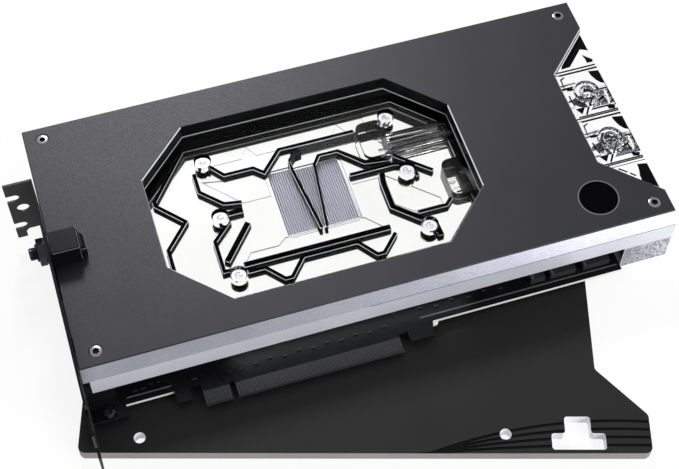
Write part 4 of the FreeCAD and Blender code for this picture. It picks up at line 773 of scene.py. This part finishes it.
@dataclass
class Screws:
    """Small screws of cover, acrylic and bracket, all with a hexagon socket."""

    cover_x: tuple = (9.3, 249.8)
    cover_y: tuple = (23.5, 132.0)
    lug: tuple = ((8.2, 8.2), (8.2, 95.4))

    def build(self) -> None:
        """Build the three sets."""
        self.cover()
        self.acrylic()
        self.bracket()

    def cover(self) -> None:
        """Countersunk screws, flush with the cover, on their shanks."""
        made = Piece("cover_screws", STEEL_GREY, "black_steel")
        for x in self.cover_x:
            for y in self.cover_y:
                made.key_head([(2.35, -0.02), (2.65, -0.18), (2.72, -0.3), (1.5, -1.45), (1.5, -6.9), (1.1, -7.0)],
                              1.5, 1.3, at(x, y, FACE))
        made.build(smooth=True)

    def acrylic(self) -> None:
        """Cap screws in their counterbores, down into the base."""
        made = Piece("acrylic_screws", STEEL_BRIGHT, "badge_metal", socket=STEEL_BRIGHT)
        for x in SCREW_X:
            for y in SCREW_Y:
                made.key_head([(3.1, 0.0), (3.45, -0.3), (3.5, -0.6), (3.5, -3.8), (3.3, -4.0), (2.0, -4.0),
                               (2.0, -14.4), (1.5, -14.9)], 1.8, 2.0, at(x, y, GLASS - 1.6))
        made.build(smooth=True)

    def bracket(self) -> None:
        """Round head screws that hold the folded lugs to the board."""
        made = Piece("bracket_screws", STEEL_BLACK, "black_steel")
        for x, y in self.lug:
            made.key_head([(1.9, 0.0), (2.5, -0.25), (2.8, -0.8), (2.8, -1.15), (1.5, -1.15), (1.5, -3.7)],
                          1.35, 0.9, at(x, y, 2.2))
        made.build(smooth=True)


@dataclass
class BoardDetails:
    """Contacts, small parts and printed lines of the circuit board."""

    pitch: float = 1.0
    contact: float = 0.84
    short_row: tuple = (46.5, 58.15)
    long_row: tuple = (60.05, 131.7)
    slot: ClassVar[str] = "socket_shell"

    def build(self) -> None:
        """Build all the board's details."""
        self.fingers()
        self.capacitor_ends()
        self.small_parts()
        self.prints()
        self.edge_tab()

    def fingers(self) -> None:
        """Contacts on both faces of the two rows, each a thin pad with eased edges."""
        made = Piece("finger_contacts", CONTACT, self.slot)
        for left, right in (self.short_row, self.long_row):
            count = int((right - left) // self.pitch)
            start = (left + right - count * self.pitch) / 2
            for step in range(count):
                x = start + (step + 0.5) * self.pitch - self.contact / 2
                for low, high in ((0.0, 0.06), (-1.66, -1.6)):
                    verts = made.slab(card(x, 0.7, low), card(x + self.contact, 6.9, high))
                    top = [v for v in verts if v.co.y < card(0, 1, 0).y]
                    bmesh.ops.scale(made.shape, vec=(0.7, 1, 1), verts=top,
                                    space=Matrix.Translation(-card(x + self.contact / 2, 0, 0)))
        made.build()

    def capacitor_ends(self) -> None:
        """Folded metal feet and the marked end of each polymer capacitor."""
        feet = Piece("capacitor_feet", SOLDER, self.slot)
        bands = Piece("capacitor_bands", SILKSCREEN, "capacitor_grey")
        for left, length in ((6.3, 1.0), (4.9, 1.8), (2.55, 1.9)):
            x, run = 233.8 - left * 6.4, length * 6.4
            for end in (x - 0.35, x + run - 0.25):
                feet.slab(card(end, 15.6, 0.0), card(end + 0.6, 18.3, 1.4), 0.1)
            bands.slab(card(x + 0.5, 14.9, 3.18), card(x + 1.3, 19.0, 3.24), 0.02)
        feet.build()
        bands.build()

    def small_parts(self) -> None:
        """Chip resistors and capacitors between the strip's larger parts, with soldered ends."""
        cores = Piece("chip_parts", RESIN, "black_resin")
        ends = Piece("chip_ends", SOLDER, self.slot)
        rows = [(19.5, 15.0, 1.6, 0.8), (23.0, 15.0, 1.6, 0.8), (27.0, 16.2, 1.0, 0.5), (30.0, 16.2, 1.0, 0.5),
                (44.0, 13.0, 1.6, 0.8), (59.0, 12.2, 1.0, 0.5), (64.0, 12.2, 1.0, 0.5)]
        rows += [(70.0 + 6.2 * k, 12.4 + 0.9 * (k % 2), 1.6, 0.8) for k in range(10)]
        rows += [(143.0 + 7.3 * k, 17.4 - 1.1 * (k % 2), 1.6, 0.8) for k in range(6)]
        rows += [(4.5 + 3.2 * k, 96.5, 1.0, 0.5) for k in range(3)]
        for x, y, length, width in rows:
            cores.slab(card(x, y, 0.05), card(x + length, y + width, 0.6), 0.06)
            for end in (x - 0.12, x + length - 0.12):
                ends.slab(card(end, y - 0.04, 0.0), card(end + 0.26, y + width + 0.04, 0.52), 0.06)
        cores.build()
        ends.build()

    def prints(self) -> None:
        """White lines printed along the front strip."""
        made = Piece("board_prints", SILKSCREEN, "capacitor_grey")
        made.slab(card(16.4, 12.9, 0.0), card(35.0, 13.5, 0.08), 0.03)
        made.slab(card(142.6, 12.9, 0.0), card(232.6, 13.5, 0.08), 0.03)
        made.build()

    def edge_tab(self) -> None:
        """Small pale tab of laminate at the board's front edge: painted highlight."""
        made = Piece("laminate_tab_painted_highlight", LAMINATE_EDGE, "capacitor_grey")
        low, high = (144.2, 8.5), (149.6, 10.4)
        made.plate([card(x, y, -1.5) for x, y in ((low[0] + 0.9, low[1]), (high[0] - 0.9, low[1]),
                                                  (high[0], low[1] + 0.9), high, (low[0], high[1]),
                                                  (low[0], low[1] + 0.9))], 1.4, 0.2)
        made.build()


@dataclass
class TerminalDetails:
    """Threads of the ports and chambers, and black sheets over the terminal's ends: painted reflection and shade."""

    pitch: float = 1.337
    crest: float = 5.3
    # Places of the standing bores and of the lying chambers
    bore: tuple = (247.2, 18.1)
    chamber: tuple = (251.1, 11.0)

    def build(self) -> None:
        """Build the threads and the dark sheets."""
        made = Piece("port_threads", ACRYLIC_THREAD, "clear_acrylic")
        lie = Matrix.Rotation(math.radians(90), 3, "Y")
        (bore_x, bore_z), (chamber_x, chamber_z) = self.bore, self.chamber
        for y in MODULE_Y:
            port = self.thread(5.7, 4.6)
            made.turned(port, at(bore_x, y + 1.6, bore_z), 40)
            made.turned([(r * 0.55, z) for r, z in port], at(bore_x, y + 1.6, bore_z), 32)
            made.turned(self.thread(5.75, 5.2), at(chamber_x, y, chamber_z, lie), 40)
        made.build(smooth=True)
        self.dark_sheets()

    def thread(self, root: float, length: float) -> list[tuple[float, float]]:
        """Zigzag section of a thread: radius and height of roots and crests in turn."""
        steps = int(length / (self.pitch / 2))
        return [(root if k % 2 else self.crest, k * self.pitch / 2) for k in range(steps + 1)]

    def dark_sheets(self) -> None:
        """Shaped black sheets on the upper face, under the cover's level: painted reflection, and painted shade
        along the seams.
        """
        made = Piece("terminal_painted_shade_and_reflections", SHADE_REFLECTION_BLACK, "black_resin")
        corners = [
            [(240.4, 103.9), (244.7, 104.1), (253.0, 112.4), (256.0, 110.9), (256.3, 110.6), (256.3, 120.6),
             (241.4, 105.7)],
            [(252.5, 109.2), (256.3, 105.4), (255.8, 104.1), (253.1, 104.1), (253.0, 106.9)],
            [(252.0, 45.7), (256.3, 44.8), (256.3, 29.6), (250.6, 35.3), (250.7, 39.6), (251.6, 42.5)],
            [(243.5, 46.0), (246.6, 43.2), (246.2, 42.6), (243.2, 45.2)],
            [(247.4, 42.4), (249.4, 40.4), (249.0, 39.8), (247.0, 41.8)],
        ]
        # Repeated in each module, as distances from the module's middle along Y
        module = [
            [(251.6, 11.0), (256.3, 10.2), (256.3, 2.6), (254.6, 3.4), (253.0, 5.6), (251.9, 8.6)],
            [(237.6, 10.1), (239.9, 11.0), (240.1, 10.5), (238.2, 9.5), (237.8, 4.6), (237.4, 4.6)],
            [(238.1, 4.5), (241.7, 3.4), (241.0, 2.7), (238.4, 2.9)],
            [(237.7, 0.2), (238.4, 0.4), (238.4, -3.2), (237.7, -3.2)],
            [(238.0, -7.5), (242.5, -7.4), (239.9, -11.0)],
            [(243.6, -7.8), (244.6, -8.0), (242.1, -11.7), (241.2, -11.6)],
            [(246.9, -4.1), (247.6, -4.3), (244.9, -7.6), (244.2, -7.4)],
            [(249.1, -5.4), (252.7, -3.6), (253.1, -7.5), (252.3, -7.5), (252.0, -5.1), (249.8, -6.0)],
            [(252.1, -9.5), (255.8, -10.2), (255.0, -11.9), (252.3, -11.4)],
            [(255.6, -1.5), (256.3, -1.3), (256.3, -5.2), (255.6, -5.1)],
            [(256.1, 3.6), (256.4, 3.6), (256.4, -0.6), (256.1, -0.6)],
            [(256.1, -6.2), (256.4, -6.2), (256.4, -9.6), (256.1, -9.6)],
            [(254.6, -7.8), (256.2, -7.2), (256.2, -7.7), (254.9, -8.2)],
            [(237.8, 12.5), (237.8, 11.7), (256.3, 11.7), (256.3, 12.5)],
            [(237.8, -11.9), (237.8, -12.6), (256.3, -12.6), (256.3, -11.9)],
        ]
        outlines = corners + [[(x, row + y) for x, y in shape] for row in MODULE_Y[::-1] for shape in module]
        for outline in outlines:
            made.plate([card(x, y, UNDER) for x, y in outline], 0.12, 0.03)
        # Black strip on the block's left end, behind the front capacitors: painted shade
        made.slab(card(234.93, 14.0, -3.8), card(235.0, 34.0, 18.0), 0.02)
        made.build()


@dataclass
class CoverDetails:
    """Painted highlight where the collar meets the acrylic, and painted shade as the line between the front rail's
    facets.
    """

    crease: tuple = (13.82, 20.1)

    def build(self) -> None:
        """Build the painted highlight round the window and the painted shade line between the front rail's facets.
        """
        made = Piece("collar_painted_highlight", ACRYLIC_GLINT, "clear_acrylic")
        self.band(made, GLASS + 0.02, 0.3, 0.22)
        made.build()
        # Dark bar in the crease between the rail's facets: painted shade
        crease = Piece("rail_crease_painted_shade", RAIL_INNER_SHADE, "silver_anodised_aluminium")
        crease.rod(card(120.0, *self.crease), card(256.4, *self.crease), 0.1, 4)
        crease.build()

    def band(self, made: Piece, level: float, tall: float, inset: float) -> None:
        """Lay one thin band along the inner wall of the window.

        Args:
            made: Piece that the band belongs to.
            level: Height of its lower edge.
            tall: Its height.
            inset: How far it stands out of the wall.
        """
        rings = []
        for shrink in (0.02, inset):
            cx, cy = WINDOW_MIDDLE
            hx, hy = (side / 2 - shrink for side in WINDOW_SIZE)
            c = WINDOW_CORNER - shrink * MITRE
            outline = [(-hx + c, -hy), (hx - c, -hy), (hx, -hy + c), (hx, hy - c), (hx - c, hy), (-hx + c, hy),
                       (-hx, hy - c), (-hx, -hy + c)]
            verts = [made.shape.verts.new(card(cx + x, cy + y, level)) for x, y in outline]
            rings.append([made.shape.edges.new(pair) for pair in zip(verts, verts[1:] + verts[:1])])
        flat = bmesh.ops.bridge_loops(made.shape, edges=rings[0] + rings[1])["faces"]
        top = picked(bmesh.ops.extrude_face_region(made.shape, geom=flat)["geom"], Vert)
        bmesh.ops.translate(made.shape, vec=(0, 0, tall * MM), verts=top)


@dataclass
class GrooveGlints:
    """Painted highlights along the cords' grooves, each a thin light line between two black walls."""

    acrylic: bpy.types.Object
    ceiling: float = FLOOR + 3.4
    half: float = 0.13

    def build(self) -> None:
        """Lay a thin light bar, a painted highlight, along each upper groove edge that the viewer's side shows."""
        made = Piece("groove_painted_highlights", ACRYLIC_GLINT, "clear_acrylic")
        source = bmesh.new()
        source.from_mesh(self.acrylic.data)
        source.transform(self.acrylic.matrix_world)
        bmesh.ops.remove_doubles(source, verts=source.verts, dist=1e-6)
        for edge in source.edges:
            if len(edge.link_faces) != 2:
                continue
            flat, wall = sorted(edge.link_faces, key=lambda face: -abs(face.normal.z))
            heights = [(vert.co.z - CARD.z) / MM for vert in edge.verts]
            if abs(flat.normal.z) < 0.9 or abs(wall.normal.z) > 0.1 or flat.material_index != wall.material_index:
                continue
            level = all(abs(height - self.ceiling) < 0.3 for height in heights)
            if level and wall.material_index and wall.normal.x * 0.3 + wall.normal.y > 0.05:
                made.rod(edge.verts[0].co.copy(), edge.verts[1].co.copy(), self.half, 4)
        source.free()
        made.build()


@dataclass
class SwitchDetails:
    """Trim of the push switch: collar of the boot, seam of the housing and the button's face."""

    y: float = 72.0
    axis: float = FACE + 4.9

    def build(self) -> None:
        """Build collar, seam and button face."""
        collar = Piece("boot_collar", NYLON, "switch_plastic")
        collar.slab(card(12.9, self.y - 5.2, self.axis - 4.7), card(13.9, self.y + 5.2, self.axis + 3.0), 0.4)
        collar.build(smooth=True)
        seam = Piece("housing_lip", NYLON, "switch_plastic")
        seam.slab(card(1.05, self.y - 5.75, self.axis - 4.85), card(2.1, self.y + 5.75, self.axis + 4.95), 0.25)
        seam.build(smooth=True)
        # Pale bars along the housing's and boot's edges: painted highlight
        lines = Piece("housing_painted_highlights", NYLON_HIGHLIGHT, "switch_plastic")
        front, top, end = self.y - 5.6, self.axis + 4.78, 13.35
        for first, last in (((2.2, front, top), (end, front, top)), ((end, front, top), (end, front, top - 8.4)),
                            ((end, front, top), (end, front + 11.2, top)),
                            ((15.9, front + 0.9, 32.5), (15.9, front + 10.3, 32.5)),
                            ((14.0, front + 0.9, 32.6), (15.9, front + 0.9, 32.5))):
            lines.rod(card(*first), card(*last), 0.13)
        lines.build(smooth=True)
        lie = Matrix.Rotation(math.radians(-90), 3, "Y")
        face = Piece("button_face", STEEL_BLACK, "black_steel", body="button")
        face.turned([(2.55, -1.2), (2.62, -1.0), (2.62, -0.5), (2.35, -0.1), (1.9, 0.0), (1.7, -0.08), (0.0, -0.16)],
                    at(-7.0, self.y, self.axis, lie))
        face.build(smooth=True)


@dataclass
class SocketDetails:
    """Contacts on the tongues of the display sockets."""

    rows: tuple = ((24.0, 17.0), (43.6, 17.0), (63.2, 17.0), (81.8, 15.0))

    def build(self) -> None:
        """Build the two rows of contacts in each socket."""
        made = Piece("socket_contacts", CONTACT, "socket_shell")
        for middle, width in self.rows:
            count = int((width - 7.0) / 1.0)
            for step in range(count):
                y = middle + (step - (count - 1) / 2) * 1.0
                for low in (2.55, 3.8):
                    made.slab(card(0.6, y - 0.3, low), card(8.5, y + 0.3, low + 0.06), 0.02)
        made.build()


@dataclass
class PhotoCamera:
    """Camera at the photograph's viewing angle."""

    place: Vector = field(default_factory=lambda: card(16.19, -264.05, 535.61))
    right: Vector = field(default_factory=lambda: Vector((0.95408, -0.29947, 0.00703)))
    down: Vector = field(default_factory=lambda: Vector((-0.24834, -0.80388, -0.54047)))
    lens: float = 77.24

    def build(self) -> None:
        """Make the camera and give it to the scene."""
        data = bpy.data.cameras.new("photo_camera")
        data.lens = self.lens
        data.sensor_width = 36.0
        data.clip_start, data.clip_end = 0.01, 20.0
        made = stand("photo_camera", data)
        forward = self.right.cross(-self.down) * -1
        turn = Matrix((self.right, -self.down, -forward)).transposed()
        made.matrix_world = Matrix.Translation(self.place) @ turn.to_4x4()
        bpy.context.scene.camera = made


@dataclass
class Studio:
    """Pale floor, soft lamps and a plain pale surround."""

    floor_half: float = 3.0
    surround: float = 0.42
    floor_glow: float = 0.88

    def build(self) -> None:
        """Make floor, world and lamps."""
        self.world()
        self.floor()
        self.lamp("key_softbox", (0.04, 0.87, 0.86), 0.24, 11.0)
        self.lamp("fill_softbox", (0.54, -0.86, 0.72), 0.42, 8.5)
        # Low and to the right: the rail's upper facet mirrors it towards its right end
        self.lamp("low_softbox", (0.52, -0.93, 0.20), 0.42, 3.1)

    def seen(self, tree: bpy.types.NodeTree) -> Socket:
        """One for rays that look at the surround straight, in a gloss or through a clear body."""
        path = add(tree, "LightPath")
        first = add(tree, "Math", {"operation": "MAXIMUM"}, i0=path.outputs["Is Camera Ray"],
                    i1=path.outputs["Is Glossy Ray"])
        second = add(tree, "Math", {"operation": "MAXIMUM"}, i0=first.outputs[0],
                     i1=path.outputs["Is Transmission Ray"])
        return second.outputs[0]

    def world(self) -> None:
        """White where it is seen, and a softer light on the object."""
        world = bpy.data.worlds.new("pale_surround")
        bpy.context.scene.world = world
        tree = empty_tree(world)
        strength = add(tree, "MapRange", Value=self.seen(tree), To_Min=self.surround, To_Max=1.0)
        back = add(tree, "Background", Color=(1, 1, 1, 1), Strength=strength.outputs[0])
        add(tree, "OutputWorld", Surface=back.outputs[0])

    def floor(self) -> None:
        """A plain pale floor that keeps the object's shadow."""
        shape = bmesh.new()
        bmesh.ops.create_grid(shape, x_segments=1, y_segments=1, size=self.floor_half)
        mesh = bpy.data.meshes.new("floor")
        shape.to_mesh(mesh)
        shape.free()
        material = bpy.data.materials.new("floor_white_paper")
        tree = empty_tree(material)
        paper = add(tree, "BsdfDiffuse", Color=linear("#f4f4f4"))
        glow = add(tree, "Emission", Color=(1, 1, 1, 1), Strength=1.0)
        share = add(tree, "Math", {"operation": "MULTIPLY"}, i0=self.seen(tree), i1=self.floor_glow)
        mix = add(tree, "MixShader", i0=share.outputs[0], i1=paper.outputs[0], i2=glow.outputs[0])
        add(tree, "OutputMaterial", Surface=mix.outputs[0])
        mesh.materials.append(material)
        floor = stand("floor", mesh)
        floor.location.z = -0.0002

    def lamp(self, name: str, place: tuple, size: float, power: float) -> None:
        """A square soft lamp that faces the object.

        Args:
            name: Name of the lamp.
            place: Position in metres.
            size: Side of its square.
            power: Its power in watts.
        """
        data = bpy.data.lights.new(name, "AREA")
        data.size = size
        data.energy = power
        made = stand(name, data)
        made.location = place
        made.rotation_mode = "QUATERNION"
        made.rotation_quaternion = (Vector((0, 0, 0.02)) - Vector(place)).to_track_quat("-Z", "Y")


def main() -> None:
    """Load the frame, dress it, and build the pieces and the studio."""
    logging.basicConfig(level=logging.INFO, format="%(message)s")
    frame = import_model()
    bpy.context.scene.view_settings.view_transform = "Standard"
    PhotoCamera().build()
    Studio().build()
    nodes = frame["nodes"]
    NodeDresser(nodes).dress()
    for part in (Screws(), BoardDetails(), TerminalDetails(), CoverDetails(), GrooveGlints(nodes["acrylic_top"]),
                 SwitchDetails(), SocketDetails()):
        part.build()


if __name__ == "__main__":
    main()
